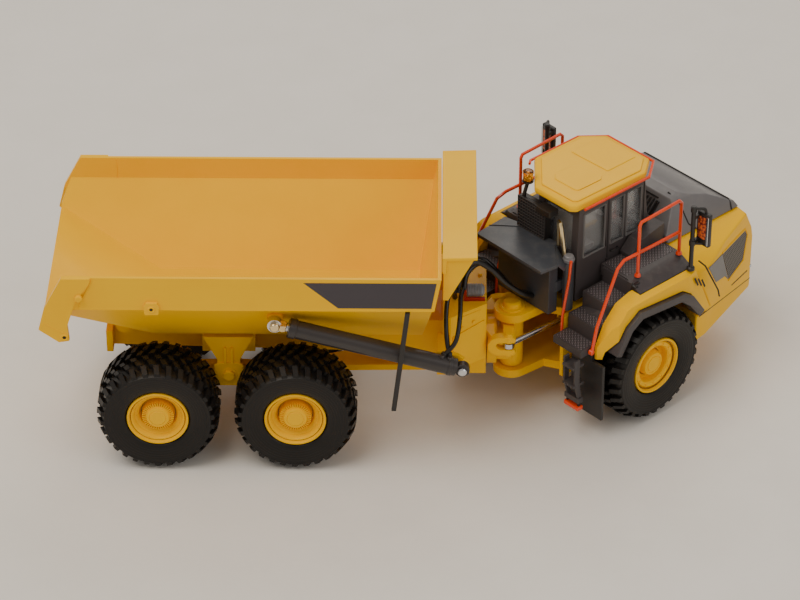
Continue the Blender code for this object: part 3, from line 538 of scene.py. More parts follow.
def tread_group():
    """Tread plate: in a square net of cells, a raised lens in each, every other one turned."""
    recipe, given, made = new_group(
        "Tread plate",
        (
            ("Vector", VECTOR, None),
            ("Pitch", VALUE, 0.001),
            ("Length", VALUE, 0.46),
            ("Width", VALUE, 0.17),
        ),
        (("Mask", VALUE),),
    )
    across, along, _ = in_pitches(recipe, given)
    odd = recipe.maths("ADD", recipe.maths("FLOOR", across), recipe.maths("FLOOR", along))
    odd = recipe.maths("FLOORED_MODULO", odd, 2.0)
    u = past_middle(recipe, across)
    v = past_middle(recipe, along)
    swap = recipe.maths("SUBTRACT", 1.0, odd)
    long_way, short_way = (
        recipe.maths("ADD", recipe.maths("MULTIPLY", a, odd), recipe.maths("MULTIPLY", b, swap))
        for a, b in ((u, v), (v, u))
    )
    long_way = recipe.maths("DIVIDE", long_way, given.outputs["Length"])
    short_way = recipe.maths("DIVIDE", short_way, given.outputs["Width"])
    square = recipe.maths("MULTIPLY", short_way, short_way)
    far = recipe.maths("MULTIPLY_ADD", long_way, long_way, square)
    mask = recipe.maths("SUBTRACT", 1.0, recipe.ramp(far, 0.55, 1.0))
    recipe.tree.links.new(mask, made.inputs["Mask"])


def screen_group():
    """Pressed screen: rows of small holes, every other row moved by half a pitch."""
    recipe, given, made = new_group(
        "Pressed screen",
        (("Vector", VECTOR, None), ("Pitch", VALUE, 0.001), ("Hole", VALUE, 0.36)),
        (("Mask", VALUE),),
    )
    across, _, level = in_pitches(recipe, given)
    shift = recipe.maths("FLOORED_MODULO", recipe.maths("FLOOR", level), 2.0)
    shift = recipe.maths("MULTIPLY", shift, 0.5)
    u = past_middle(recipe, recipe.maths("ADD", across, shift))
    v = past_middle(recipe, level)
    far = recipe.maths("SQRT", recipe.maths("MULTIPLY_ADD", u, u, recipe.maths("MULTIPLY", v, v)))
    hole = recipe.maths("SUBTRACT", 1.0, recipe.ramp(far, 0.26, given.outputs["Hole"]))
    recipe.tree.links.new(hole, made.inputs["Mask"])


FRONT_TURN = math.atan2(FRONT.axes[0][1], FRONT.axes[0][0])


def start_material(name, turn=0.0):
    """An empty material with its surface shader and a place vector turned about the upright."""
    material = bpy.data.materials.new(name)
    material.use_nodes = True
    tree = material.node_tree
    tree.nodes.clear()
    recipe = Recipe(tree)
    out = recipe.add("ShaderNodeOutputMaterial")
    shader = recipe.add("ShaderNodeBsdfPrincipled")
    tree.links.new(shader.outputs[0], out.inputs[0])
    place = recipe.add("ShaderNodeTexCoord").outputs["Object"]
    if turn:
        inputs = {"Vector": place, "Rotation": (0, 0, -turn)}
        place = recipe.add("ShaderNodeMapping", inputs).outputs[0]
    return recipe, shader, place


COAT_ROUGHNESS = 0.08


def set_plain(shader, metallic=0.0, coat=0.0, ior=1.5, specular=0.5):
    """The values that are the same all over, set on the shader's own sockets."""
    shader.inputs["Metallic"].default_value = metallic
    shader.inputs["Coat Weight"].default_value = coat
    shader.inputs["Coat Roughness"].default_value = COAT_ROUGHNESS
    shader.inputs["IOR"].default_value = ior
    shader.inputs["Specular IOR Level"].default_value = specular


def skin(recipe, place, colour, shade, grain, uneven, gloss):
    """A material's grain, placed with its own values."""
    return recipe.effect("Skin grain", {
        "Vector": place, "Colour": colour, "Shade": shade, "Grain size": grain * MM,
        "Unevenness": uneven, "Gloss low": gloss[0], "Gloss high": gloss[1],
    })


def surface(recipe, shader, colour, rough):
    """Feeds a colour and a roughness to the shader."""
    recipe.tree.links.new(colour, shader.inputs["Base Color"])
    recipe.tree.links.new(rough, shader.inputs["Roughness"])


def bumped(recipe, shader, height, depth):
    """Feeds a height to the shader's normal, its depth in millimetres."""
    bump = recipe.add("ShaderNodeBump", {"Height": height, "Distance": depth * MM, "Strength": 1.0})
    recipe.tree.links.new(bump.outputs[0], shader.inputs["Normal"])


def coloured(name, colour, shade, grain, uneven, gloss, depth, dust=0.0, **plain):
    """A painted, moulded or metal finish made of grain and dust."""
    recipe, shader, place = start_material(name)
    set_plain(shader, **plain)
    made = skin(recipe, place, colour, shade, grain, uneven, gloss)
    result = made.outputs["Colour"]
    if dust:
        film = recipe.effect("Dust film", {"Vector": place, "Colour": result, "Amount": dust})
        result = film.outputs["Colour"]
    surface(recipe, shader, result, made.outputs["Roughness"])
    bumped(recipe, shader, made.outputs["Height"], depth)


def darker(colour, share):
    """A colour at a share of its brightness."""
    return tuple(part * share for part in colour[:3]) + (1.0,)


# The lenses are paler than the plate: a painted highlight on their raised tops
LENS_HIGHLIGHT = 4.6  # how much paler the tread plate's lenses are than the plate


def tread_finish(name, colour, pitch, depth):
    """Moulded tread plate on faces that look up, its raised lenses paler as a painted highlight."""
    recipe, shader, place = start_material(name, FRONT_TURN + math.radians(45))
    set_plain(shader)
    made = skin(recipe, place, colour, darker(colour, 0.6), 0.3, 0.4, (0.38, 0.55))
    pattern = recipe.effect("Tread plate", {"Vector": place, "Pitch": pitch * MM}).outputs["Mask"]
    # The lenses' colour: the plate's colour made paler, a painted highlight
    lens = tuple(min(1, part * LENS_HIGHLIGHT) for part in colour[:3]) + (1,)
    lens_highlighted = recipe.blend(pattern, made.outputs["Colour"], lens)
    surface(recipe, shader, lens_highlighted, made.outputs["Roughness"])
    bumped(recipe, shader, pattern, depth)


SCREEN_RIM, SCREEN_HOLE = (0.10, 0.085, 0.07, 1), (0.006, 0.006, 0.006, 1)


def screen_finish(name, turn, pitch):
    """Black pressed screen on an upright face."""
    recipe, shader, place = start_material(name, turn)
    set_plain(shader)
    inputs = {"Vector": place, "Pitch": pitch * MM}
    pattern = recipe.effect("Pressed screen", inputs).outputs["Mask"]
    colour = recipe.blend(pattern, SCREEN_RIM, SCREEN_HOLE)
    surface(recipe, shader, colour, recipe.maths("MULTIPLY_ADD", pattern, 0.4, 0.4))
    bumped(recipe, shader, recipe.maths("SUBTRACT", 1.0, pattern), 0.25)


WALL_RING_PITCH = 0.9  # rings on a tyre's wall, in mm from the axle
WALL_RINGS_START, WALL_RINGS_END = (12.2, 12.6), (17.2, 17.6)


def rubber_finish(name, colour):
    """Moulded rubber with rings around each tyre's wall, drawn by a value kept on its points."""
    recipe, shader, place = start_material(name)
    set_plain(shader, specular=0.32)
    made = skin(recipe, place, colour, darker(colour, 2.0), 0.35, 0.5, (0.34, 0.5))
    reach = recipe.add("ShaderNodeAttribute", attribute_name="wall_radius").outputs["Fac"]
    wave = recipe.maths("SINE", recipe.maths("MULTIPLY", reach, 2 * math.pi / WALL_RING_PITCH))
    crests = recipe.ramp(wave, 0.72, 1.0)
    ringed = recipe.maths("MULTIPLY", crests, recipe.ramp(reach, *WALL_RINGS_START))
    past = recipe.ramp(reach, *WALL_RINGS_END)
    ringed = recipe.maths("MULTIPLY", ringed, recipe.maths("SUBTRACT", 1.0, past))
    height = recipe.maths("MULTIPLY_ADD", made.outputs["Height"], 0.25, ringed)
    surface(recipe, shader, made.outputs["Colour"], made.outputs["Roughness"])
    bumped(recipe, shader, height, 0.05)


def clear_finish(name, colour, rough, ior=1.46, clear=1.0):
    """Clear moulded plastic, tinted through, and a little milky where clear is under 1."""
    recipe, shader, place = start_material(name)
    set_plain(shader, ior=ior)
    shader.inputs["Transmission Weight"].default_value = clear
    made = skin(recipe, place, colour, darker(colour, 0.85), 1.5, 0.5, rough)
    surface(recipe, shader, made.outputs["Colour"], made.outputs["Roughness"])
    bumped(recipe, shader, made.outputs["Height"], 0.004)


def faceted_finish(name, colour, dark, pitch, **plain):
    """A reflector or lens: a net of small domes with dark lines between."""
    recipe, shader, place = start_material(name)
    set_plain(shader, **plain)
    inputs = {"Vector": place, "Scale": 1 / (pitch * MM)}
    cells = recipe.add("ShaderNodeTexVoronoi", inputs, feature="F1")
    mask = recipe.ramp(cells.outputs["Distance"], 0.25, 0.75)
    colour = recipe.blend(mask, colour, dark)
    surface(recipe, shader, colour, recipe.maths("MULTIPLY_ADD", mask, 0.3, 0.12))
    bumped(recipe, shader, recipe.maths("SUBTRACT", 1.0, mask), 0.08)


# ---------------------------------------------------------------- wheels

TYRE_WALL = (
    (10.55, 7.9), (10.9, 8.7), (11.6, 9.1), (12.6, 9.4), (14.2, 9.75), (15.6, 9.9), (16.9, 9.92),
    (17.5, 9.85), (17.75, 10.0), (18.0, 9.95), (18.25, 9.55), (18.6, 8.9), (18.8, 7.6), (18.95, 4.0),
    (19.0, 0.0),
)
REAR_RIM = (
    (0, 8.5), (2.6, 8.5), (2.8, 8.28), (3.05, 8.42), (3.7, 8.3), (4.0, 7.8), (4.3, 6.7), (5.3, 6.3),
    (5.5, 4.4), (6.2, 4.4), (6.45, 5.6), (7.8, 6.5), (8.2, 7.5), (8.6, 8.1), (9.05, 8.2), (9.15, 7.9),
    (9.35, 7.9), (9.5, 8.6), (9.75, 9.0), (10.25, 9.0), (10.42, 8.8), (10.42, -7.0), (9.5, -7.0),
    (8.4, -4.0), (8.0, 2.0), (0, 2.0),
)
FRONT_RIM = (
    (0, 7.5), (2.7, 7.5), (2.9, 7.2), (3.2, 7.2), (3.4, 7.45), (4.1, 7.3), (4.5, 6.6), (4.8, 4.7),
    (6.1, 4.4), (6.5, 4.9), (6.9, 7.1), (7.3, 7.6), (8.5, 7.8), (8.9, 7.5), (9.1, 7.2), (9.3, 7.4),
    (9.5, 8.5), (9.75, 9.0), (10.25, 9.0), (10.42, 8.8), (10.42, -7.0), (9.5, -7.0), (8.4, -4.0),
    (8.0, 2.0), (0, 2.0),
)

TYRE_STEPS, RIM_STEPS = 144, 96
# Rows of lugs on a tyre's left half: start and span in shares of a step, width from and to, radius of
# the foot, how much lower than the tread the top is at each width, and lean
LUG_ROWS = (
    (0.0, 0.52, 6.0, 9.85, 17.7, (0.05, 1.5), 0.008),
    (0.46, 0.5, 3.0, 5.9, 18.4, (0.0, 0.05), 0.020),
    (0.02, 0.5, 0.35, 2.7, 18.4, (0.0, 0.0), 0.020),
)


def lugs(count, start, span, near, far, foot, tops, lean):
    """Tread blocks in one row: at turn t and width w, point = (r sin t, w, r cos t).

    Each block's turn grows with its width by lean, and its top is a little smaller than its foot.
    """
    turn = start + np.arange(count) * 2 * math.pi / count
    width = np.array([near, far])
    half = np.array([-0.5, 0.5]) * span
    grid = np.empty((count, 2, 2, 2, 3))
    for level, inset, share, radius in ((0, 1.0, 1.0, (foot, foot)), (1, 0.82, 0.9, tops)):
        radius = np.array(radius)[None, :, None]
        across = width.mean() + (width - width.mean()) * share
        lying = (lean * (width - near))[None, :, None]
        angle = turn[:, None, None] + (half * inset)[None, None, :] + lying
        grid[:, :, :, level, 0] = radius * np.sin(angle)
        grid[:, :, :, level, 1] = across[None, :, None]
        grid[:, :, :, level, 2] = radius * np.cos(angle)
    return block_skin(grid.reshape(count, 8, 3))


def tyre_shape(count, depth):
    """A tyre's wall turned about its axle, with three rows of lugs on each side of the middle."""
    wall = list(TYRE_WALL)
    wall += [(radius, -width) for radius, width in reversed(wall[:-1])]
    shapes = [turned(wall, TYRE_STEPS, closed=True)]
    step = 2 * math.pi / count
    top = TYRE_WALL[-1][0] + depth
    for side, start in (("left", 0.0), ("right", 0.5 * step)):
        rows = joined(*(
            lugs(count, start + step * at, step * span, near, far, foot, (top - a, top - b), lean)
            for at, span, near, far, foot, (a, b), lean in LUG_ROWS
        ))
        shapes.append(on_side(rows, side))
    return joined(*shapes)


# Count, radius, width and size of the studs or ribs on a hub
FRONT_STUDS = (12, 7.95, 7.75, (0.55, 0.5, 0.55))
REAR_RIBS = (40, 4.75, 6.7, (0.36, 1.5, 1.3))
REAR_BOLTS = (4, 8.75, 8.0)  # count, radius and width
FIRST_BOLT = 0.4  # its turn from straight up
# Half the width across, and the reach below and above along the axle, of the rims' dark rings of painted
# shade
SHADE_RING_HALF, SHADE_RING_BELOW, SHADE_RING_ABOVE = 0.18, 0.2, 0.12


def rim_shape(front):
    """A stepped rim turned about its axle, with the ring of ribs or studs on its hub."""
    shapes = [turned(FRONT_RIM if front else REAR_RIM, RIM_STEPS)]
    count, radius, out, size = FRONT_STUDS if front else REAR_RIBS
    turn = np.arange(count) * 2 * math.pi / count
    zero = np.zeros(count)
    outward = np.stack([np.sin(turn), zero, np.cos(turn)], axis=1)
    tangent = np.stack([np.cos(turn), zero, -np.sin(turn)], axis=1)
    along = np.broadcast_to((0.0, 1.0, 0.0), (count, 3))
    centres = radius * outward + out * along
    shapes.append(blocks(centres, size, np.stack([tangent, along, outward], axis=1)))
    if not front:
        count, radius, out = REAR_BOLTS
        turn = np.arange(count) * 2 * math.pi / count + FIRST_BOLT
        ring = [radius * np.sin(turn), turn * 0 + out, radius * np.cos(turn)]
        shapes.append(bolts(np.stack(ring, axis=1), (0, 1, 0), 0.32, 0.45))
    return joined(*shapes)


def groove_shade_ring(radius, out):
    """A ring of painted shade in a rim's groove: a small dark square section turned about the axle."""
    near, far = radius - SHADE_RING_HALF, radius + SHADE_RING_HALF
    low, high = out - SHADE_RING_BELOW, out + SHADE_RING_ABOVE
    return turned(((near, low), (far, low), (far, high), (near, high)), 72, True)


def wheel_place(name):
    """A wheel's half, moved to its hub, and its side."""
    half = FRONT if name.startswith("front") else REAR
    return half.at(middle("tyre_" + name)), name.rsplit("_", 1)[1]


def keep_radius(mesh, place):
    """Keeps on each point how far it is from the axle, for the rubber's rings."""
    points = np.empty(len(mesh.vertices) * 3)
    mesh.vertices.foreach_get("co", points)
    local = (points.reshape(-1, 3) - place.origin) @ place.axes.T / MM
    reach = np.hypot(local[:, 0], local[:, 2])
    values = mesh.attributes.new("wall_radius", "FLOAT", "POINT").data
    values.foreach_set("value", reach.astype(np.float32))


class TruckTyres(bpy.types.PropertyGroup):
    """Sizes of the six tyres."""

    lug_count: IntProperty(
        name="Lugs", description="Lugs in each row round the tread", default=30, min=12, max=60
    )
    lug_depth: FloatProperty(
        name="Lug depth", description="Height of a lug above the tread, in mm",
        default=1.75, min=0.2, max=1.8,
    )


class DUMP_TRUCK_OT_tyres(bpy.types.Operator):
    """Six tyres with moulded walls and staggered lugs."""

    bl_idname = "dump_truck.tyres"
    bl_label = "Tyres"

    def execute(self, context):
        sizes = context.scene.truck_tyres
        shape = tyre_shape(sizes.lug_count, sizes.lug_depth)
        for name in WHEELS:
            place, side = wheel_place(name)
            made = piece(
                "tyre_" + name + "_moulded", "wheel_" + name, on_side(shape, side), "Tyre rubber",
                "rubber", 0, ("tyre_" + name,), 40, place,
            )
            keep_radius(made.data, place)
        return {"FINISHED"}


class DUMP_TRUCK_OT_rims(bpy.types.Operator):
    """Six stepped rims, the rear ones with a ribbed hub ring."""

    bl_idname = "dump_truck.rims"
    bl_label = "Rims"

    def execute(self, context):
        for name in WHEELS:
            place, side = wheel_place(name)
            front = name.startswith("front")
            piece(
                "rim_" + name + "_stepped", "wheel_" + name, on_side(rim_shape(front), side),
                "Yellow enamel", "yellow", 0, ("rim_" + name,), 22, place,
            )
            # Dark rings by the flange and round the hub: painted shade in the rims' grooves
            hub_shade_ring = (5.0, 4.75) if front else (5.85, 4.4)
            groove_shades = on_side(joined(groove_shade_ring(9.25, 7.85), groove_shade_ring(*hub_shade_ring)), side)
            piece("rim_" + name + "_gaps", "wheel_" + name, groove_shades, "Recess shade", "yellow", place=place)
        return {"FINISHED"}


# ---------------------------------------------------------------- finishes of the cast parts

# Cast parts, with * for the side: finish, slot, and rounding of the edges in mm
SOFT_PARTS = (
    ("dump_body", "Yellow enamel", "yellow", 0.3),
    ("spill_guard", "Yellow enamel", "yellow", 0.22),
    ("rear_frame", "Yellow enamel", "yellow", 0.25),
    ("lower_stay", "Yellow enamel", "yellow", 0.2),
    ("hitch_knuckle", "Yellow enamel", "yellow", 0.3),
    ("front_frame", "Yellow enamel", "yellow", 0.25),
    ("front_axle", "Yellow enamel", "yellow", 0.2),
    ("rear_axle_1", "Yellow enamel", "yellow", 0.2),
    ("rear_axle_2", "Yellow enamel", "yellow", 0.2),
    ("bogie_beam_*", "Yellow enamel", "yellow", 0.25),
    ("nose", "Yellow enamel", "yellow", 0.8),
    # The hood's satin is the charcoal made lighter all over: painted sheen of its lit top
    ("hood", "Hood satin", "grey", 0.6),
    ("fender_*", "Yellow enamel", "yellow", 0.7),
    ("arch_lip_*", "Charcoal satin", "grey", 0.4),
    ("deck_*", "Charcoal satin", "grey", 0.2),
    ("cab_shell", "Charcoal satin", "grey", 0.35),
    ("cab_roof", "Yellow enamel", "yellow", 0.9),
    ("cab_seat", "Cab trim", "black", 0.4),
    ("rear_cover", "Slate satin", "grey", 0.25),
    ("cooler_guard", "Black satin", "black", 0.15),
    ("ladder_*", "Charcoal satin", "grey", 0.12),
    ("mirror_*", "Black satin", "black", 0.25),
    ("mudflap_*", "Black satin", "black", 0.12),
    ("front_flap_*", "Black satin", "black", 0.15),
    ("hoist_barrel_*", "Gunmetal satin", "black", 0.2),
    ("hoist_rod_*", "Bright steel", "steel", 0.15),
    ("steering_barrel_*", "Yellow enamel", "yellow", 0.15),
    ("steering_rod_*", "Bright steel", "steel", 0.1),
    ("roof_rail", "Orange enamel", "orange", 0),
    ("handrail_*", "Orange enamel", "orange", 0),
    ("grab_rail_*", "Orange enamel", "orange", 0),
    ("exhaust_pipe", "Pale gold", "gold", 0),
)
KEPT_PARTS = (("cab_glazing", "Clear window"),)


class TruckFinishes(bpy.types.PropertyGroup):
    """Colours of the truck's main finishes."""

    enamel: FloatVectorProperty(
        name="Enamel", description="Warm yellow of the cast parts", subtype="COLOR", size=4,
        default=(0.96, 0.53, 0.0, 1.0), min=0, max=1,
    )
    charcoal: FloatVectorProperty(
        name="Charcoal", description="Cab, decks, stairs and hood", subtype="COLOR", size=4,
        default=(0.056, 0.047, 0.049, 1.0), min=0, max=1,
    )
    rail: FloatVectorProperty(
        name="Rails", description="Orange-red of rails and lowest steps", subtype="COLOR", size=4,
        default=(0.85, 0.055, 0.0, 1.0), min=0, max=1,
    )
    rubber: FloatVectorProperty(
        name="Rubber", description="Tyres, hoses and flaps", subtype="COLOR", size=4,
        default=(0.0065, 0.0054, 0.005, 1.0), min=0, max=1,
    )
    tread_pitch: FloatProperty(
        name="Tread pitch", description="Spacing of the tread plate's lenses, in mm",
        default=1.0, min=0.3, max=3,
    )


# Name, colour, shade, grain in mm, unevenness, gloss, height in mm, and the other values. A word is
# one of the colours above, and a shade that is one number is that share of the colour.
COLOURED = (
    ("Yellow enamel", "enamel", (0.9, 0.47, 0.0), 0.9, 0.5, (0.26, 0.38), 0.012,
     {"coat": 0.05, "specular": 0.1}),
    ("Charcoal satin", "charcoal", 0.75, 0.25, 0.5, (0.36, 0.5), 0.012, {"dust": 0.08}),
    # A lighter copy of the charcoal for the hood: painted sheen
    ("Hood satin", (0.17, 0.163, 0.17), (0.12, 0.112, 0.116), 0.25, 0.5, (0.28, 0.42), 0.012, {"dust": 0.08}),
    # Recess shade: the dark brown of the painted shade in the rims' grooves
    ("Recess shade", (0.3, 0.12, 0.0), (0.2, 0.07, 0.0), 0.3, 0.5, (0.4, 0.6), 0.01, {}),
    ("Slate satin", (0.05, 0.055, 0.066), (0.035, 0.036, 0.042), 0.25, 0.5, (0.3, 0.46), 0.012,
     {"dust": 0.08}),
    ("Grey satin", (0.26, 0.27, 0.29), (0.18, 0.18, 0.19), 0.25, 0.4, (0.3, 0.45), 0.012, {}),
    ("Gunmetal satin", (0.04, 0.034, 0.034), (0.026, 0.022, 0.022), 0.3, 0.5, (0.24, 0.36), 0.012, {}),
    ("Black satin", (0.014, 0.012, 0.012), (0.022, 0.02, 0.019), 0.3, 0.5, (0.34, 0.5), 0.015, {}),
    ("Hose rubber", "rubber", 1.6, 0.2, 0.4, (0.22, 0.36), 0.01, {}),
    ("Orange enamel", "rail", 0.8, 0.5, 0.3, (0.22, 0.34), 0.012, {"coat": 0.4}),
    ("Red enamel", (0.4, 0.006, 0.004), (0.26, 0.004, 0.003), 0.5, 0.3, (0.2, 0.3), 0.012, {"coat": 0.4}),
    ("Blank stripe", (0.028, 0.021, 0.032), (0.022, 0.018, 0.026), 0.6, 0.4, (0.16, 0.26), 0.006,
     {"coat": 0.3}),
    # Black of seams and creases, and of the painted shade in the lug holes
    ("Seam black", (0.006, 0.005, 0.005), (0.012, 0.01, 0.01), 0.3, 0.4, (0.5, 0.7), 0.01, {}),
    ("Bright steel", (0.66, 0.66, 0.68), (0.5, 0.5, 0.53), 0.2, 0.4, (0.16, 0.3), 0.006, {"metallic": 1.0}),
    ("Pale gold", (0.78, 0.62, 0.36), (0.6, 0.44, 0.22), 0.3, 0.5, (0.18, 0.3), 0.006, {"metallic": 1.0}),
    ("Window frame", (0.13, 0.125, 0.125), (0.08, 0.078, 0.078), 0.3, 0.4, (0.24, 0.36), 0.01, {}),
    ("Cab trim", (0.34, 0.29, 0.28), (0.24, 0.16, 0.15), 0.3, 0.6, (0.4, 0.6), 0.02, {}),
    ("Mirror glass", (0.6, 0.62, 0.64), (0.5, 0.52, 0.54), 1.2, 0.3, (0.05, 0.1), 0.003, {"metallic": 1.0}),
)
SCREEN_TURN = math.atan2(-10.0, 33.4)  # the slope of the nose's sides


class DUMP_TRUCK_OT_finishes(bpy.types.Operator):
    """The shared effects and every finish of the truck."""

    bl_idname = "dump_truck.finishes"
    bl_label = "Finishes"

    def execute(self, context):
        chosen = context.scene.truck_finishes
        grain_group()
        dust_group()
        tread_group()
        screen_group()
        for name, colour, shade, grain, uneven, gloss, depth, more in COLOURED:
            colour = tuple(getattr(chosen, colour)) if isinstance(colour, str) else (*colour, 1)
            shade = (*shade, 1) if isinstance(shade, tuple) else darker(colour, shade)
            coloured(name, colour, shade, grain, uneven, gloss, depth, **more)
        charcoal = tuple(chosen.charcoal)
        tread_finish("Tread plate", charcoal, chosen.tread_pitch, 0.14)
        tread_finish("Step plate", darker(charcoal, 0.8), chosen.tread_pitch * 1.1, 0.16)
        screen_finish("Screen right", FRONT_TURN - SCREEN_TURN, 0.95)
        screen_finish("Screen left", FRONT_TURN + SCREEN_TURN, 0.95)
        rubber_finish("Tyre rubber", tuple(chosen.rubber))
        clear_finish("Clear window", (0.93, 0.95, 0.96, 1), (0.02, 0.05), clear=0.84)
        clear_finish("Amber lens", (0.95, 0.36, 0.02, 1), (0.06, 0.12), 1.49)
        faceted_finish("Amber reflector", (0.8, 0.16, 0.04, 1), (0.18, 0.02, 0.01, 1), 0.9, coat=0.8)
        faceted_finish("Lamp lens", (0.75, 0.82, 0.9, 1), (0.2, 0.3, 0.42, 1), 0.5, coat=1.0)
        return {"FINISHED"}


class DUMP_TRUCK_OT_castings(bpy.types.Operator):
    """The cast and moulded parts: rounded edges, and their finishes."""

    bl_idname = "dump_truck.castings"
    bl_label = "Castings"

    def execute(self, context):
        for part, finish, slot, soften in SOFT_PARTS:
            for side in SIDES if "*" in part else ("",):
                softened(part.replace("*", side), finish, soften)
        for node, finish in KEPT_PARTS:
            paint(node, finish)
        return {"FINISHED"}


# ---------------------------------------------------------------- rear half

BAND_FACE = 37.4
EAR_FACE = 38.2
LUG_FACE = BAND_FACE + 1.1
STRIPE = ((50.0, 76.1), (93.7, 76.1), (92.0, 66.1), (61.3, 66.1))
SIDE_LUG = ((-2.6, 63.6), (2.0, 63.6), (2.3, 66.8), (1.6, 68.2), (-2.0, 68.2), (-2.8, 66.8))


class DUMP_TRUCK_OT_dump_body_trim(bpy.types.Operator):
    """On the dump body: the blank stripes, the side lugs, the ear studs and the seams."""

    bl_idname = "dump_truck.dump_body_trim"
    bl_label = "Dump body trim"

    def execute(self, context):
        seam = [(-19.4, BAND_FACE, 76.9), (-23.2, BAND_FACE + 0.1, 68.6), (-24.6, BAND_FACE, 65.2)]
        crease = [(-36.2, EAR_FACE, 60.0), (-31.0, EAR_FACE, 56.6), (-28.6, EAR_FACE, 55.6)]
        inner = [(-17.2, BAND_FACE - 1.2, 77.2), (-17.0, BAND_FACE - 1.2, 65.4)]
        trim = joined(
            slab(SIDE_LUG, 1, BAND_FACE - 0.2, LUG_FACE),
            eyelet((-0.3, LUG_FACE, 65.8), 0.95, 0.38),
            pin((-24, 70), 1, EAR_FACE - 0.1, EAR_FACE + 1.0, ((0, 1.35), (0.7, 1.3), (1, 0.9)), 24),
            strip(seam, 0.22),
            eyelet((-29.6, EAR_FACE, 54.2), 1.0, 0.45),
            strip(crease, 0.16),
            strip(inner),
        )
        # Dark discs in the holes of the side lug and the ear: painted shade
        holes = joined(
            pin((-0.3, 65.8), 1, LUG_FACE - 0.7, LUG_FACE + 0.05, ((0, 0.62), (1, 0.62)), 20),
            pin((-29.6, 54.2), 1, EAR_FACE - 0.1, EAR_FACE + 0.12, ((0, 0.6), (1, 0.6)), 20),
        )
        stripe = slab(STRIPE, 1, BAND_FACE - 0.05, BAND_FACE + 0.07)
        pairs(
            ("body_stripe_*", "dump_body", stripe, "Blank stripe", "black"),
            ("body_lugs_*", "dump_body", trim, "Yellow enamel", "yellow", 0.25),
            ("body_lug_holes_*", "dump_body", holes, "Seam black", "black"),
        )
        return {"FINISHED"}


HOIST_FOOT = np.array((102.5, 33.0, 38.7))
HOIST_HEAD = np.array((40.0, 33.0, 56.4))
HOIST_LINE = (HOIST_HEAD - HOIST_FOOT) / np.linalg.norm(HOIST_HEAD - HOIST_FOOT)
HOIST_EYE = 3.0  # how far a barrel reaches behind its foot pin


def on_ram(origin, start, end, profile, steps):
    """A profile turned about the ram's line, between two distances from a point on it."""
    return spindle(origin + HOIST_LINE * start, origin + HOIST_LINE * end, profile, steps)


class DUMP_TRUCK_OT_hoist_trim(bpy.types.Operator):
    """On the hoist rams: end collars, ports and bright pins."""

    bl_idname = "dump_truck.hoist_trim"
    bl_label = "Hoist ram trim"

    def execute(self, context):
        port = HOIST_FOOT + HOIST_LINE * 4.4 + np.array((0, 0.6, 2.9))
        foot = joined(
            on_ram(HOIST_FOOT, 3.6, 5.2, ((0, 3.12), (0.15, 3.35), (0.85, 3.35), (1, 3.12)), 40),
            bolts([port, port + np.array((-2.6, 0, 0.7))], (0, 0, 1), 0.95, 1.1),
        )
        x, y, z = HOIST_FOOT
        foot_pin = pin((x, z), 1, y + 1.0, y + 2.6, ((0, 1.55), (0.8, 1.5), (1, 1.1)), 28)
        x, y, z = HOIST_HEAD
        head = joined(
            pin((x, z), 1, y + 0.9, y + 2.7, ((0, 1.7), (0.8, 1.65), (1, 1.3)), 28),
            on_ram(HOIST_HEAD, -1.6, -3.9, ((0, 2.15), (0.5, 2.3), (1, 1.9)), 6),
        )
        for side in SIDES:
            barrel = "hoist_barrel_" + side
            low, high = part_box(barrel)
            end = HOIST_FOOT + HOIST_LINE * ((high[0] - low[0]) / MM - HOIST_EYE) / abs(HOIST_LINE[0])
            collar = on_ram(end, -2.6, 0.15, ((0, 3.12), (0.12, 3.45), (0.86, 3.45), (1, 3.1)), 40)
            trim = on_side(joined(collar, foot), side)
            piece("hoist_collar_" + side, barrel, trim, "Gunmetal satin", "black", 0.1)
            piece("hoist_foot_pin_" + side, barrel, on_side(foot_pin, side), "Bright steel", "steel")
            trim = on_side(head, side)
            piece("hoist_head_" + side, "hoist_rod_" + side, trim, "Pale gold", "gold", 0.15)
        return {"FINISHED"}


TOWER_FOOT = np.array((98.6, 19.5, 0.0))
TOWER_LINE = np.array((12.2, -8.5, 0.0)) / math.hypot(12.2, 8.5)
TOWER_NORMAL = np.array((8.5, 12.2, 0.0)) / math.hypot(12.2, 8.5)


def tower_points(outline):
    """Points of (distance along, height) on the tower's slanted side."""
    along, height = np.array(outline, float).T
    return TOWER_FOOT + along[:, None] * TOWER_LINE + height[:, None] * np.array((0, 0, 1))


def on_tower(outline, lift, depth):
    """An outline laid on the tower's slanted side, lifted off it and carried out by depth."""
    return plate(tower_points(outline) + TOWER_NORMAL * lift, TOWER_NORMAL * depth)


BOGIE_HUB = (23.2, 25.2)
BOGIE_BOSS = ((0, 2.9), (0.35, 2.8), (0.4, 2.0), (0.85, 2.0), (1, 1.6))
BOGIE_CAP = ((18.6, 20.6), (27.8, 20.6), (28.2, 29.0), (26.8, 30.0), (19.6, 30.0), (18.2, 29.0))
BOGIE_RIBS = (22.1, 24.4)


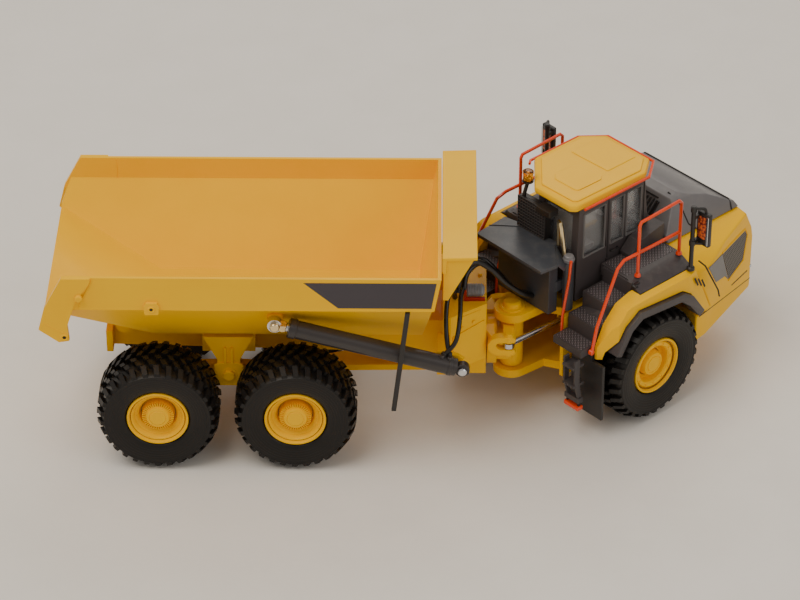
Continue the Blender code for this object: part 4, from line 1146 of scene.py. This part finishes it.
class DUMP_TRUCK_OT_rear_frame_trim(bpy.types.Operator):
    """On the rear frame: bogie bosses and ribs, tower seams, bolts and hitch studs."""

    bl_idname = "dump_truck.rear_frame_trim"
    bl_label = "Rear frame trim"

    def execute(self, context):
        ribs = joined(*(
            slab(((x - 0.35, 29.6), (x + 0.35, 29.6), (x + 0.45, 36.4), (x - 0.45, 36.4)), 1, 18.0, 19.0)
            for x in BOGIE_RIBS
        ))
        lower = on_tower(((0.8, 41.6), (14.0, 43.8), (14.0, 31.2), (9.4, 29.4), (0.8, 34.6)), -0.2, 0.6)
        upper = on_tower(((2.6, 48.6), (12.4, 48.6), (11.6, 46.0), (4.0, 45.4)), -0.2, 0.45)
        trim = joined(
            both(pin(BOGIE_HUB, 1, 18.1, 20.0, BOGIE_BOSS, 36)),
            both(ribs),
            both(slab(BOGIE_CAP, 1, 17.9, 18.6)),
            both(lower),
            both(upper),
            both(bolts(tower_points(((4.6, 44.0), (9.4, 44.8))), TOWER_NORMAL, 0.7, 0.5)),
            bolts([(104, 10.2, 50), (108.6, 6.0, 50), (108.6, -6.0, 50)], (0, 0, 1), 0.8, 0.7),
        )
        piece("bogie_bosses", "rear_unit", trim, "Yellow enamel", "yellow", 0.12)
        return {"FINISHED"}


# Hoses over the hitch and down to the hoist rams: points and radius
HITCH_HOSES = (
    (((100.6, 15.5, 57.5), (102.2, 12.0, 63.0), (106.6, 8.4, 65.2), (111.8, 6.4, 61.2),
      (117.6, 4.4, 53.6), (124.0, 2.0, 47.6), (129.0, -2.4, 44.6)), 1.0),
    (((102.8, 13.0, 57.0), (104.0, 9.8, 61.6), (108.2, 5.6, 62.9), (113.2, 3.6, 58.4),
      (118.4, 2.2, 51.6), (123.6, 0.2, 46.4), (128.6, -4.6, 43.8)), 1.0),
    (((101.8, -2.0, 52.0), (104.8, -3.4, 57.4), (109.4, -3.0, 58.8), (114.2, -1.8, 54.8),
      (118.8, -0.6, 49.4), (123.0, -2.0, 45.0), (127.6, -6.6, 42.8)), 0.8),
)
RAM_HOSES = (
    (((99.4, 18.4, 60.4), (97.6, 21.0, 59.0), (97.0, 24.6, 55.0), (97.2, 29.6, 49.0),
      (98.2, 32.0, 43.2)), 0.8),
    (((102.6, 16.6, 60.0), (101.8, 20.4, 58.6), (101.6, 25.4, 54.2), (100.2, 30.4, 48.0),
      (96.2, 32.4, 43.6)), 0.8),
    (((100.0, 8.0, 50.5), (99.2, 12.0, 57.0), (99.2, 15.6, 60.2), (99.6, 18.6, 60.2)), 0.95),
)
# Two points on the hoses where they run between two moving parts
HITCH_BEND = ((112, 0, 50), (126, 0, 46))
RAM_BEND = ((97.2, 29.6, 50.0), (98.0, 32.0, 44.6))
HOSE_NUT = ((0, 1.1), (0.9, 1.1), (1, 0.9))
FILTER_RIB = ((0.08, 2.3), (0.11, 2.3), (0.125, 2.0), (0.155, 2.0))
FILTER_RIB_STEP = 0.09


def hoses_shape(rows):
    """Hoses carried smoothly through their points."""
    return joined(*(tube(path, radius, 12, 8) for path, radius in rows))


class DUMP_TRUCK_OT_hoses(bpy.types.Operator):
    """The hoses over the hitch and down to the hoist rams, and the filter on the tower."""

    bl_idname = "dump_truck.hoses"
    bl_label = "Hoses and filter"

    def execute(self, context):
        over = mirrored(hoses_shape(HITCH_HOSES))
        bundle = piece("hitch_hoses", "hitch", over, "Hose rubber", "rubber", place=REAR)
        bundle.parent = None
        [tuple(REAR(point)) for point in HITCH_BEND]
        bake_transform(bundle)
        down = hoses_shape(RAM_HOSES)
        nuts = joined(
            spindle((98.2, 32.0, 42.6), (98.1, 31.7, 44.4), HOSE_NUT, 6),
            spindle((96.2, 32.4, 43.0), (96.5, 32.2, 44.8), HOSE_NUT, 6),
        )
        for side in SIDES:
            barrel = "hoist_barrel_" + side
            hoses = piece("ram_hoses_" + side, "rear_unit", on_side(down, side), "Hose rubber", "rubber")
            hoses.parent = None
            out = 1 if side == "left" else -1
            bend = [tuple(REAR((x, out * y, z))) for x, y, z in RAM_BEND]
            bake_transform(hoses)
            piece("ram_hose_nuts_" + side, barrel, on_side(nuts, side), "Black satin", "black")
        bracket = joined(
            oblong((103.0, -9.6), (103.9, -4.4), 2, 50.0, 55.8),
            oblong((103.0, -9.6), (110.2, -8.8), 2, 50.0, 51.4),
        )
        piece("filter_bracket", "rear_unit", bracket, "Red enamel", "orange", 0.15)
        ribs = [(share + k * FILTER_RIB_STEP, radius) for k in range(9) for share, radius in FILTER_RIB]
        canister = pin((-7.2, 53.0), 0, 104.0, 110.0, [(0, 1.9), *ribs, (0.92, 1.9), (1, 1.2)], 28)
        piece("filter", "rear_unit", canister, "Grey satin", "grey")
        return {"FINISHED"}


STEERING_PIN = (118.5, 12.0)
CLAW = (
    (120.2, 37.4), (115.0, 37.6), (112.6, 36.9), (111.3, 35.0), (111.2, 32.8), (112.6, 30.8),
    (115.2, 30.0), (120.2, 30.3), (121.0, 31.3), (120.4, 32.5), (115.6, 32.5), (114.4, 33.2),
    (114.1, 34.2), (114.6, 35.0), (115.6, 35.25), (120.4, 35.25), (121.0, 36.4),
)
CLAW_WEB = ((110.5, 4.0), (114.0, 4.0), (114.0, 12.0), (112.6, 12.0), (110.5, 8.4))
CLAW_HALF = 1.7
RING_BOLTS, RING_RADIUS, RING_MIDDLE = 10, 7.0, (110.9, 28)


class DUMP_TRUCK_OT_hitch_trim(bpy.types.Operator):
    """On the hitch: stepped post caps, arm studs and ring bolts."""

    bl_idname = "dump_truck.hitch_trim"
    bl_label = "Hitch trim"

    def execute(self, context):
        caps = joined(
            pin((0, 0), 2, 41.2, 44.0, ((0, 4.4), (0.3, 4.3), (0.34, 3.1), (0.8, 3.0), (1, 2.2)), 40),
            pin((0, 0), 2, 15.7, 13.4, ((0, 4.2), (0.4, 4.1), (0.44, 3.0), (1, 2.8)), 40),
        )
        piece("hitch_caps", "front_unit", caps, "Yellow enamel", "yellow", 0.2)
        claw = slab(CLAW, 1, STEERING_PIN[1] - CLAW_HALF, STEERING_PIN[1] + CLAW_HALF)
        claws = both(joined(claw, slab(CLAW_WEB, 2, 31.0, 37.0)))
        piece("hitch_claws", "hitch", claws, "Yellow enamel", "yellow", 0.35)
        studs = both(joined(
            pin(STEERING_PIN, 2, 37.2, 38.3, ((0, 1.7), (0.5, 1.65), (0.6, 1.2), (1, 1.0)), 28),
            pin(STEERING_PIN, 2, 30.6, 29.4, ((0, 1.8), (0.6, 1.7), (1, 1.2)), 28),
        ))
        turn = np.linspace(0, 2 * math.pi, RING_BOLTS, endpoint=False)
        x, z = RING_MIDDLE
        ring = np.stack([0 * turn + x, RING_RADIUS * np.sin(turn), z + RING_RADIUS * np.cos(turn)], axis=1)
        trim = joined(studs, bolts(ring, (-1, 0, 0), 0.75, 0.5))
        piece("hitch_studs", "hitch", trim, "Yellow enamel", "yellow", 0.15)
        return {"FINISHED"}


# ---------------------------------------------------------------- front half

NOSE_SLOPE = 10.0 / 33.4
NOSE_START = (62.0, 33.6)  # x and y where the slanted side starts
NOSE_RAKE = 5.4 / 19.0
NOSE_FOOT = (99.6, 25.0)  # x and z at the foot of the raked front
SIDE_PLATE = ((61.6, 45.9), (71.5, 45.9), (77.4, 31.6), (74.6, 34.7), (67.8, 36.2))
SIDE_SCREEN = ((71.7, 45.9), (88.4, 45.7), (90.0, 43.0), (88.0, 33.6), (77.7, 31.6))
SCREEN_EDGE = ((71.6, 46.3), (88.8, 46.1), (90.5, 43.1), (88.4, 33.2), (77.5, 31.1))
SIDE_CREASE = ((80.6, 26.9), (92.6, 25.9), (92.6, 26.4), (80.6, 27.4))
SIDE_SEAM = ((56.6, 28.4), (95.2, 21.2), (95.2, 21.5), (56.6, 28.8))
GRILLE_LOW, GRILLE_HIGH = 28.5, 42.5
GRILLE_BARS = 8
BAR_WIDTH = 10.6  # half of it


def nose_y(x):
    """How far out the nose's slanted side stands."""
    return NOSE_START[1] - NOSE_SLOPE * (x - NOSE_START[0])


def on_nose(outline, lift, depth):
    """An outline of (x, z) laid on the nose's slanted side and carried out by depth."""
    x, z = np.array(outline, float).T
    normal = np.array((NOSE_SLOPE, 1.0, 0.0)) / math.hypot(NOSE_SLOPE, 1.0)
    return plate(np.stack([x, nose_y(x), z], axis=1) + normal * lift, normal * depth)


def front_x(z):
    """Where the nose's raked front face stands at a height."""
    return NOSE_FOOT[0] - (z - NOSE_FOOT[1]) * NOSE_RAKE


def grille_bar(z):
    """One level bar of the front grille."""
    x = front_x(z) + 0.15
    low, high = z - 0.35, z + 0.35
    corners = [(x, -BAR_WIDTH, low), (x, BAR_WIDTH, low), (x, BAR_WIDTH, high), (x, -BAR_WIDTH, high)]
    return plate(corners, (0.5, 0, 0.1))


class DUMP_TRUCK_OT_nose_trim(bpy.types.Operator):
    """On the nose: side screens, plates, creases, lamps and the front grille."""

    bl_idname = "dump_truck.nose_trim"
    bl_label = "Nose trim"

    def execute(self, context):
        edge = [(x, nose_y(x) + 0.1, z) for x, z in SCREEN_EDGE]
        creases = joined(on_nose(SIDE_CREASE, -0.1, 0.16), on_nose(SIDE_SEAM, -0.1, 0.14))
        lamps = joined(
            spindle((94.2, 22.8, 26.6), (95.5, 23.5, 26.6), ((0, 0.9), (0.7, 0.85), (1, 0.5)), 20),
            spindle((95.9, 17.8, 33.0), (97.5, 18.3, 33.0), ((0, 2.4), (0.8, 2.35), (1, 1.9)), 32),
            spindle((95.9, 18.6, 27.4), (97.4, 19.1, 27.4), ((0, 1.6), (0.8, 1.55), (1, 1.2)), 32),
        )
        plated, net = on_nose(SIDE_PLATE, -0.1, 0.3), on_nose(SIDE_SCREEN, -0.1, 0.26)
        pairs(
            ("nose_plate_*", "front_unit", plated, "Window frame", "grey", 0.1),
            ("nose_screen_*", "front_unit", net, "Screen *", "black"),
            ("nose_screen_edge_*", "front_unit", strip(edge, 0.3), "Yellow enamel", "yellow"),
            ("nose_creases_*", "front_unit", creases, "Seam black", "black"),
            ("nose_lamps_*", "front_unit", lamps, "Lamp lens", "clear"),
        )
        low, high = (front_x(GRILLE_LOW), GRILLE_LOW), (front_x(GRILLE_HIGH), GRILLE_HIGH)
        sides = ((low, -11), (low, 11), (high, 9.6), (high, -9.6))
        panel = plate([(x, y, z) for (x, z), y in sides], (0.25, 0, 0.07))
        piece("front_grille", "front_unit", panel, "Seam black", "black")
        heights = np.linspace(GRILLE_LOW + 1.2, GRILLE_HIGH - 1.2, GRILLE_BARS)
        bars = joined(*(grille_bar(z) for z in heights))
        piece("front_grille_bars", "front_unit", bars, "Charcoal satin", "grey", 0.1)
        return {"FINISHED"}


LOUVRE_MIDDLE = (57.4, 61.4)
CROSS_SEAM = (
    (84.5, -22.3, 54.6), (84.5, -21.4, 57.2), (84.5, -20.4, 58.2),
    (84.5, 20.4, 58.2), (84.5, 21.4, 57.2), (84.5, 22.3, 54.6),
)
SIDE_HOOD_SEAM = ((63.0, -11.6, 66.0), (63.2, -16.6, 64.4), (63.6, -21.3, 57.4), (66.6, -22.4, 54.6))


class DUMP_TRUCK_OT_hood_trim(bpy.types.Operator):
    """On the hood: the louvred rear slope and the seams."""

    bl_idname = "dump_truck.hood_trim"
    bl_label = "Hood trim"

    def execute(self, context):
        slope = np.array((1, 0, 1)) / math.sqrt(2)
        out = np.array((-slope[2], 0, slope[0]))
        axes = np.array([slope, (0, 1, 0), out])
        x, z = LOUVRE_MIDDLE
        centres = np.array([(x, y, z) for y in np.linspace(-10.4, 10.4, 15)])
        ends = [np.array(end) + out * 0.2 for end in ((54.6, 0, 58.7), (60.0, 0, 64.1))]
        sides = [np.array((x, y, z)) + out * 0.2 for y in (-11.3, 11.3)]
        louvres = joined(
            blocks(centres + out * 0.25, (6.6, 0.75, 0.8), axes, 0.8),
            blocks(ends, (0.7, 22.6, 0.9), axes, 0.8),
            blocks(sides, (6.4, 0.7, 0.9), axes, 0.8),
        )
        piece("hood_louvres", "front_unit", louvres, "Black satin", "black")
        seams = joined(strip(CROSS_SEAM, 0.3), both(strip(SIDE_HOOD_SEAM, 0.3)))
        piece("hood_seams", "front_unit", seams, "Seam black", "black")
        return {"FINISHED"}


FENDER_FACE = 36.9
VENTS = ((51.0, 47.9), (52.8, 46.9), (54.6, 45.7))
FENDER_GAP = ((56.2, 33.6, 51.5), (57.0, 36.2, 50.2), (63.5, 37.0, 37.6), (65.0, 36.4, 34.0))
PLATE_DEPTH = 0.22
DECK = ((28.0, 16.0), (51.6, 26.6), 54.4)  # two corners, and the height of the face
STAIRS = (
    ((3.9, 17.6), (10.0, 29.6), 36.4),
    ((10.9, 17.6), (16.6, 29.6), 42.4),
    ((17.5, 17.6), (26.0, 29.6), 48.4),
)
LADDER_STEPS = (((0.3, 25.2), (5.0, 29.8), 30.3), ((0.3, 25.2), (5.0, 29.8), 22.6))
STRAP_EDGES = (24.5, 29.9)
RAIL_FEET = (31.0, 51.2)


def plates(rows):
    """Thin plates on level faces."""
    return joined(*(oblong(near, far, 2, low, low + PLATE_DEPTH) for near, far, low in rows))


class DUMP_TRUCK_OT_fender_trim(bpy.types.Operator):
    """On the fenders and decks: vents, seams, tread plates and hinges."""

    bl_idname = "dump_truck.fender_trim"
    bl_label = "Fender and deck trim"

    def execute(self, context):
        low, high = FENDER_FACE - 0.1, FENDER_FACE + 0.1
        slots = [
            slab(((x, z), (x + 0.55, z + 0.25), (x + 2.3, z - 3.4), (x + 1.75, z - 3.65)), 1, low, high)
            for x, z in VENTS
        ]
        straps = joined(*(oblong((2.8, 13.5), (3.8, 17.6), 1, y, y + 0.7) for y in STRAP_EDGES))
        foot = ((0, 1.15), (0.6, 1.05), (1, 0.7))
        feet = joined(
            *(pin((x, 28.9), 2, 54.3, 55.4, foot, 20) for x in RAIL_FEET),
            pin((7.6, 34.8), 1, 30.6, 32.0, ((0, 1.1), (0.8, 1.0), (1, 0.6)), 20),
        )
        hinge = joined(
            spindle((27.6, 29.6, 52.6), (27.6, 31.9, 52.2), ((0, 0.9), (1, 0.9)), 16),
            blocks([(28.6, 30.6, 52.9)], (2.6, 1.2, 1.0)),
        )
        vents = joined(*slots, strip(FENDER_GAP, 0.28))
        ladder_bar = oblong((2.0, 12.3), (4.6, 13.9), 1, 24.1, 31.0)
        pairs(
            ("fender_vents_*", "front_unit", vents, "Seam black", "black"),
            ("deck_plate_*", "front_unit", plates([DECK]), "Tread plate", "grey"),
            ("stair_plates_*", "front_unit", plates(STAIRS), "Tread plate", "grey"),
            ("ladder_plates_*", "front_unit", plates(LADDER_STEPS), "Step plate", "grey"),
            ("ladder_straps_*", "front_unit", straps, "Black satin", "black", 0.1),
            ("ladder_bar_*", "front_unit", ladder_bar, "Orange enamel", "orange", 0.3),
            ("rail_feet_*", "front_unit", feet, "Orange enamel", "orange"),
            ("deck_hinge_*", "front_unit", hinge, "Black satin", "black", 0.12),
        )
        return {"FINISHED"}


ROOF_RISE = (
    (15.0, -12.6), (16.4, -13.8), (45.8, -14.4), (51.8, -9.8),
    (51.8, 8.8), (45.8, 14.0), (26.0, 14.0), (14.6, 2.0),
)
REAR_PANEL = (
    (21.0, -9.6), (31.4, -9.8), (33.0, -8.4), (32.0, 1.6),
    (29.8, 3.2), (22.0, 3.2), (19.8, 1.0), (20.0, -8.4),
)
FRONT_PANEL = ((36.6, -7.6), (50.0, -7.6), (50.0, 7.0), (46.0, 9.6), (36.0, 9.6))


class DUMP_TRUCK_OT_roof_trim(bpy.types.Operator):
    """On the roof: the raised middle and its two panels."""

    bl_idname = "dump_truck.roof_trim"
    bl_label = "Roof panels"

    def execute(self, context):
        rise = slab(ROOF_RISE, 2, 83.2, 83.95)
        piece("roof_rise", "front_unit", rise, "Yellow enamel", "yellow", 0.7)
        panels = joined(slab(REAR_PANEL, 2, 83.8, 84.25), slab(FRONT_PANEL, 2, 83.8, 84.25))
        piece("roof_panels", "front_unit", panels, "Yellow enamel", "yellow", 0.3)
        return {"FINISHED"}


CAB_SIDE = 15.0
WINDOW_LOW, WINDOW_HIGH = 60.5, 78.0
WINDOWS = ((18.4, 28.4), (31.2, 37.4), (38.8, 45.8))  # the first only on the right
DOOR_SEAMS = (
    ((30.0, -15.05, 79.0), (30.0, -15.05, 55.6)),
    ((47.2, -15.05, 79.0), (47.2, -15.05, 55.6)),
    ((29.6, -15.05, 45.4), (29.6, -15.05, 55.4)),
)
DOOR_HANDLE = ((31.4, -15.0, 57.8), (31.6, -15.9, 57.8), (34.6, -15.9, 57.8), (34.8, -15.0, 57.8))
WIPER = ((50.1, 4.0, 61.0), (50.7, 1.6, 66.0), (50.5, -3.4, 74.4))
WHEEL_MIDDLE = (40.6, 0, 65.0)
WHEEL_RADIUS = 2.7
WHEEL_LEAN, WHEEL_RISE = 0.87, 0.5
COLUMN = (WHEEL_MIDDLE, (41.2, 0, 64.0), (43.6, 0, 60.4))


def window_rim(near, far, y):
    """A round bead around an upright window."""
    low, high = WINDOW_LOW, WINDOW_HIGH
    corners = [(near, y, low), (far, y, low), (far, y, high), (near, y, high), (near, y, low)]
    return joined(*(strip(ends, 0.35) for ends in zip(corners[:-1], corners[1:])))


class DUMP_TRUCK_OT_cab_trim(bpy.types.Operator):
    """On the cab: window beads, door seams and handle, wiper, and the wheel inside."""

    bl_idname = "dump_truck.cab_trim"
    bl_label = "Cab trim"

    def execute(self, context):
        beads = [window_rim(near, far, -CAB_SIDE) for near, far in WINDOWS]
        beads += [window_rim(near, far, CAB_SIDE) for near, far in WINDOWS[1:]]
        piece("window_beads", "front_unit", joined(*beads), "Window frame", "grey")
        door = joined(*(strip(path) for path in DOOR_SEAMS))
        piece("door_seams", "front_unit", both(door), "Seam black", "black")
        handles = joined(both(tube(DOOR_HANDLE, 0.3, 8, 3)), tube(WIPER, 0.25, 8, 4))
        piece("door_handles", "front_unit", handles, "Black satin", "black")
        turn = np.linspace(0, 2 * math.pi, 28, endpoint=False)
        reach = WHEEL_RADIUS * np.cos(turn)
        x, _, z = WHEEL_MIDDLE
        ring = [x - WHEEL_LEAN * reach, WHEEL_RADIUS * np.sin(turn), z + WHEEL_RISE * reach]
        ring = np.stack(ring, axis=1)
        wheel = joined(
            tube(ring, 0.32, 8, 1, True),
            tube(COLUMN, 0.5, 10, 3),
            blocks([WHEEL_MIDDLE], (0.5, 5.0, 0.5)),
        )
        piece("steering_wheel", "front_unit", wheel, "Black satin", "black")
        return {"FINISHED"}


GUARD_Y, GUARD_Z = (-3.0, 10.0), (65.0, 77.0)
COVER_FOLD = ((4.0, -16.6, 64.75), (12.2, -7.7, 64.75), (11.0, -14.6, 60.6), (7.4, -17.1, 60.8))
CANISTER_CAP = ((0, 2.1), (0.45, 2.15), (0.55, 1.95), (0.9, 1.7), (1, 1.3))
CANISTER_PIPE = ((12.2, -13.2, 42.6), (11.8, -13.2, 39.4), (12.6, -12.8, 36.6), (14.4, -12.2, 35.4))


class DUMP_TRUCK_OT_guard_trim(bpy.types.Operator):
    """The cooler guard's wires and cap, the cover's folded corners and the canister's cap."""

    bl_idname = "dump_truck.guard_trim"
    bl_label = "Guard and cover trim"

    def execute(self, context):
        (left, right), (low, high) = GUARD_Y, GUARD_Z
        wires = [tube(((11.55, y, low), (11.55, y, high)), 0.24, 6, 1) for y in np.linspace(*GUARD_Y, 12)]
        wires += [tube(((11.5, left, z), (11.5, right, z)), 0.2, 6, 1) for z in np.linspace(*GUARD_Z, 11)]
        piece("guard_wires", "front_unit", joined(*wires), "Gunmetal satin", "black")
        fold = plate(COVER_FOLD, (0.35, 0.3, 0.3))
        piece("cover_folds", "front_unit", both(fold), "Slate satin", "grey", 0.15)
        cap = pin((12.4, -14.2), 2, 61.6, 64.0, CANISTER_CAP, 8)
        piece("canister_cap", "front_unit", cap, "Hood satin", "grey", 0.1, (), 20)
        clip = spindle((12.8, -14.6, 38.4), (15.6, -16.4, 38.4), ((0, 0.9), (0.85, 0.9), (1, 0.5)), 16)
        pipe = joined(tube(CANISTER_PIPE, 0.9, 12, 6), clip)
        piece("canister_pipe", "front_unit", pipe, "Pale gold", "gold")
        return {"FINISHED"}


MIRROR_FACE = 52.6
MIRROR_POST = (50.2, 35.6)
AMBER_FACE = (
    (35.9, 65.0), (36.5, 64.4), (39.0, 64.4), (39.5, 65.0),
    (39.5, 72.4), (38.9, 73.0), (36.5, 73.0), (35.9, 72.4),
)
UPPER_ARM = ((50.2, 35.6, 76.2), (51.0, 36.6, 76.6), (53.0, 38.0, 76.2), (53.4, 38.4, 74.6))
LOWER_ARM = ((50.2, 35.6, 62.6), (51.2, 36.4, 62.2), (53.0, 37.8, 62.0))
ARM_SLEEVE = ((0, 1.1), (1, 1.1))


class DUMP_TRUCK_OT_mirror_trim(bpy.types.Operator):
    """The mirrors' glasses, amber faces and arm knuckles."""

    bl_idname = "dump_truck.mirror_trim"
    bl_label = "Mirror faces"

    def execute(self, context):
        arm = joined(
            tube(UPPER_ARM, 0.55, 10, 5),
            tube(LOWER_ARM, 0.5, 10, 5),
            pin(MIRROR_POST, 2, 61.6, 63.6, ARM_SLEEVE, 16),
            pin(MIRROR_POST, 2, 75.2, 77.2, ARM_SLEEVE, 16),
            pin(MIRROR_POST, 2, 51.6, 53.0, ((0, 1.5), (0.7, 1.4), (1, 0.9)), 20),
        )
        amber = slab(AMBER_FACE, 0, MIRROR_FACE, MIRROR_FACE - 0.3)
        glass = oblong((39.7, 62.4), (40.4, 73.8), 0, MIRROR_FACE, MIRROR_FACE - 0.35)
        pairs(
            ("mirror_face_*", "front_unit", amber, "Amber reflector", "amber"),
            ("mirror_glass_*", "front_unit", glass, "Mirror glass", "steel"),
            ("mirror_arm_*", "front_unit", arm, "Black satin", "black", 0.1),
        )
        return {"FINISHED"}


LENS_PROFILE = (  # share of the height, radius
    (0.0, 1.6), (0.1, 1.7), (0.62, 1.75), (0.68, 1.8), (0.74, 1.95), (0.9, 1.9), (0.97, 1.5), (1.0, 0.6),
)
FLUTES, FLUTE_DEPTH, FLUTE_TOP = 16, 0.035, 0.65
REFLECTOR = ((0, 1.1), (0.5, 1.0), (0.8, 0.5), (1, 0.3))


class DUMP_TRUCK_OT_beacon(bpy.types.Operator):
    """The beacon: a fluted amber lens over a reflector, on a black foot."""

    bl_idname = "dump_truck.beacon"
    bl_label = "Beacon"

    def execute(self, context):
        low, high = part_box("beacon")
        place = FRONT.at((low + high) / 2)
        height = (high[2] - low[2]) / MM
        turn = np.linspace(0, 2 * math.pi, 96, endpoint=False)
        level, radius = np.array(LENS_PROFILE).T[:, :, None]
        reach = radius * (1 + FLUTE_DEPTH * np.cos(FLUTES * turn)[None, :] * (level < FLUTE_TOP))
        grid = np.empty((*reach.shape, 3))
        grid[..., 0] = reach * np.sin(turn)
        grid[..., 1] = reach * np.cos(turn)
        grid[..., 2] = (level - 0.5) * height
        piece("beacon_lens", "front_unit", rings(grid), "Amber lens", "amber", 0, ("beacon",), 40, place)
        inner = pin((0, 0), 2, -0.42 * height, 0.2 * height, REFLECTOR, 24)
        piece("beacon_reflector", "front_unit", inner, "Bright steel", "steel", place=place)
        foot = pin((0, 0), 2, -0.6 * height, -0.48 * height, ((0, 1.7), (0.3, 2.0), (1, 2.0)), 32)
        piece("beacon_foot", "front_unit", foot, "Black satin", "black", place=place)
        return {"FINISHED"}


# ---------------------------------------------------------------- stage

CAMERA_PLACE = (0.0079, -0.9846, 0.7119)
CAMERA_AIM = (-0.0032, 0.0416, 0.0)
CAMERA_LENS, CAMERA_SENSOR = 154.2, 36.0
FLOOR_DROP = 0.0002
SURROUND_COLOUR = (1.0, 0.95, 0.88, 1)
# Name, place, size, power and colour
LIGHTS = (
    ("Key light", (-0.55, -0.35, 1.25), 1.1, 12.0, (1.0, 0.93, 0.82)),
    ("Fill light", (0.95, -0.75, 0.75), 1.0, 3.4, (1.0, 0.97, 0.92)),
    ("Back light", (0.25, 1.05, 1.0), 0.9, 4.5, (1.0, 0.94, 0.85)),
)


class TruckStage(bpy.types.PropertyGroup):
    """The stage around the truck."""

    floor_size: FloatProperty(
        name="Floor size", description="Side of the floor",
        default=6.0, min=1.0, unit="LENGTH", subtype="DISTANCE",
    )
    brightness: FloatProperty(
        name="Brightness", description="Strength of the soft surround", default=0.42, min=0
    )


def aimed(holder, where):
    """Puts a light or camera in its place, looking at the middle of the view."""
    holder.location = where
    line = Vector(CAMERA_AIM) - Vector(where)
    holder.rotation_euler = line.to_track_quat("-Z", "Y").to_euler()


def make_floor(size):
    """A flat pale floor of four faces, a hair below the tyres."""
    recipe, shader, place = start_material("Pale floor")
    set_plain(shader, specular=0.3)
    made = skin(recipe, place, (0.84, 0.80, 0.75, 1), (0.79, 0.75, 0.70, 1), 2.0, 0.5, (0.5, 0.62))
    surface(recipe, shader, made.outputs["Colour"], made.outputs["Roughness"])
    bumped(recipe, shader, made.outputs["Height"], 0.05)
    across = np.linspace(-0.5, 0.5, 3) * size
    x, y = np.meshgrid(across, across, indexing="ij")
    points = np.stack([x, y, np.full_like(x, -FLOOR_DROP)], axis=-1).reshape(-1, 3)
    index = np.arange(9).reshape(3, 3)
    quads = np.stack([index[:-1, :-1], index[1:, :-1], index[1:, 1:], index[:-1, 1:]], axis=-1)
    mesh = bpy.data.meshes.new("floor")
    mesh.from_pydata(points, [], quads.reshape(-1, 4).tolist())
    mesh.materials.append(bpy.data.materials["Pale floor"])
    floor = linked("floor", mesh)


def make_lights():
    """The three round lights."""
    for name, where, size, power, colour in LIGHTS:
        lamp = bpy.data.lights.new(name, "AREA")
        lamp.shape = "DISK"
        lamp.size = size
        lamp.energy = power
        lamp.color = colour
        aimed(linked(name, lamp), where)


def make_surround(brightness):
    """The soft light from all round."""
    world = bpy.data.worlds.new("Soft surround")
    world.use_nodes = True
    surround = world.node_tree.nodes["Background"]
    surround.inputs[0].default_value = SURROUND_COLOUR
    surround.inputs[1].default_value = brightness
    bpy.context.scene.world = world


def make_camera():
    """The camera, in its place."""
    lens = bpy.data.cameras.new("Camera")
    lens.lens = CAMERA_LENS
    lens.sensor_width = CAMERA_SENSOR
    lens.clip_start = 0.01
    camera = linked("Camera", lens)
    aimed(camera, CAMERA_PLACE)
    bpy.context.scene.camera = camera


class DUMP_TRUCK_OT_stage(bpy.types.Operator):
    """The pale floor, the soft lights and the camera."""

    bl_idname = "dump_truck.stage"
    bl_label = "Stage"

    def execute(self, context):
        chosen = context.scene.truck_stage
        make_floor(chosen.floor_size)
        make_lights()
        make_surround(chosen.brightness)
        make_camera()
        return {"FINISHED"}


# ---------------------------------------------------------------- add-on

OPERATORS = (
    DUMP_TRUCK_OT_finishes,
    DUMP_TRUCK_OT_castings,
    DUMP_TRUCK_OT_tyres,
    DUMP_TRUCK_OT_rims,
    DUMP_TRUCK_OT_dump_body_trim,
    DUMP_TRUCK_OT_hoist_trim,
    DUMP_TRUCK_OT_rear_frame_trim,
    DUMP_TRUCK_OT_hoses,
    DUMP_TRUCK_OT_hitch_trim,
    DUMP_TRUCK_OT_nose_trim,
    DUMP_TRUCK_OT_hood_trim,
    DUMP_TRUCK_OT_fender_trim,
    DUMP_TRUCK_OT_roof_trim,
    DUMP_TRUCK_OT_cab_trim,
    DUMP_TRUCK_OT_guard_trim,
    DUMP_TRUCK_OT_mirror_trim,
    DUMP_TRUCK_OT_beacon,
    DUMP_TRUCK_OT_stage,
)
GROUPS = (("truck_tyres", TruckTyres), ("truck_finishes", TruckFinishes), ("truck_stage", TruckStage))


class DUMP_TRUCK_PT_panel(bpy.types.Panel):
    """Lists the truck's sizes, colours and pieces."""

    bl_idname = "DUMP_TRUCK_PT_panel"
    bl_label = "Dump truck"
    bl_space_type = "VIEW_3D"
    bl_region_type = "UI"
    bl_category = "Dump truck"

    def draw(self, context):
        for name, group in GROUPS:
            values = getattr(context.scene, name)
            for field in group.__annotations__:
                self.layout.prop(values, field)
        for operator in OPERATORS:
            self.layout.operator(operator.bl_idname)


CLASSES = tuple(group for _, group in GROUPS) + OPERATORS + (DUMP_TRUCK_PT_panel,)


def register():
    for item in CLASSES:
        bpy.utils.register_class(item)
    for name, group in GROUPS:
        setattr(bpy.types.Scene, name, PointerProperty(type=group))


def unregister():
    for name, _ in GROUPS:
        delattr(bpy.types.Scene, name)
    for item in reversed(CLASSES):
        bpy.utils.unregister_class(item)


def main():
    """Makes every piece in order."""
    register()
    for operator in OPERATORS:
        getattr(bpy.ops.dump_truck, operator.bl_idname.split(".")[1])()


if __name__ == "__main__":
    main()
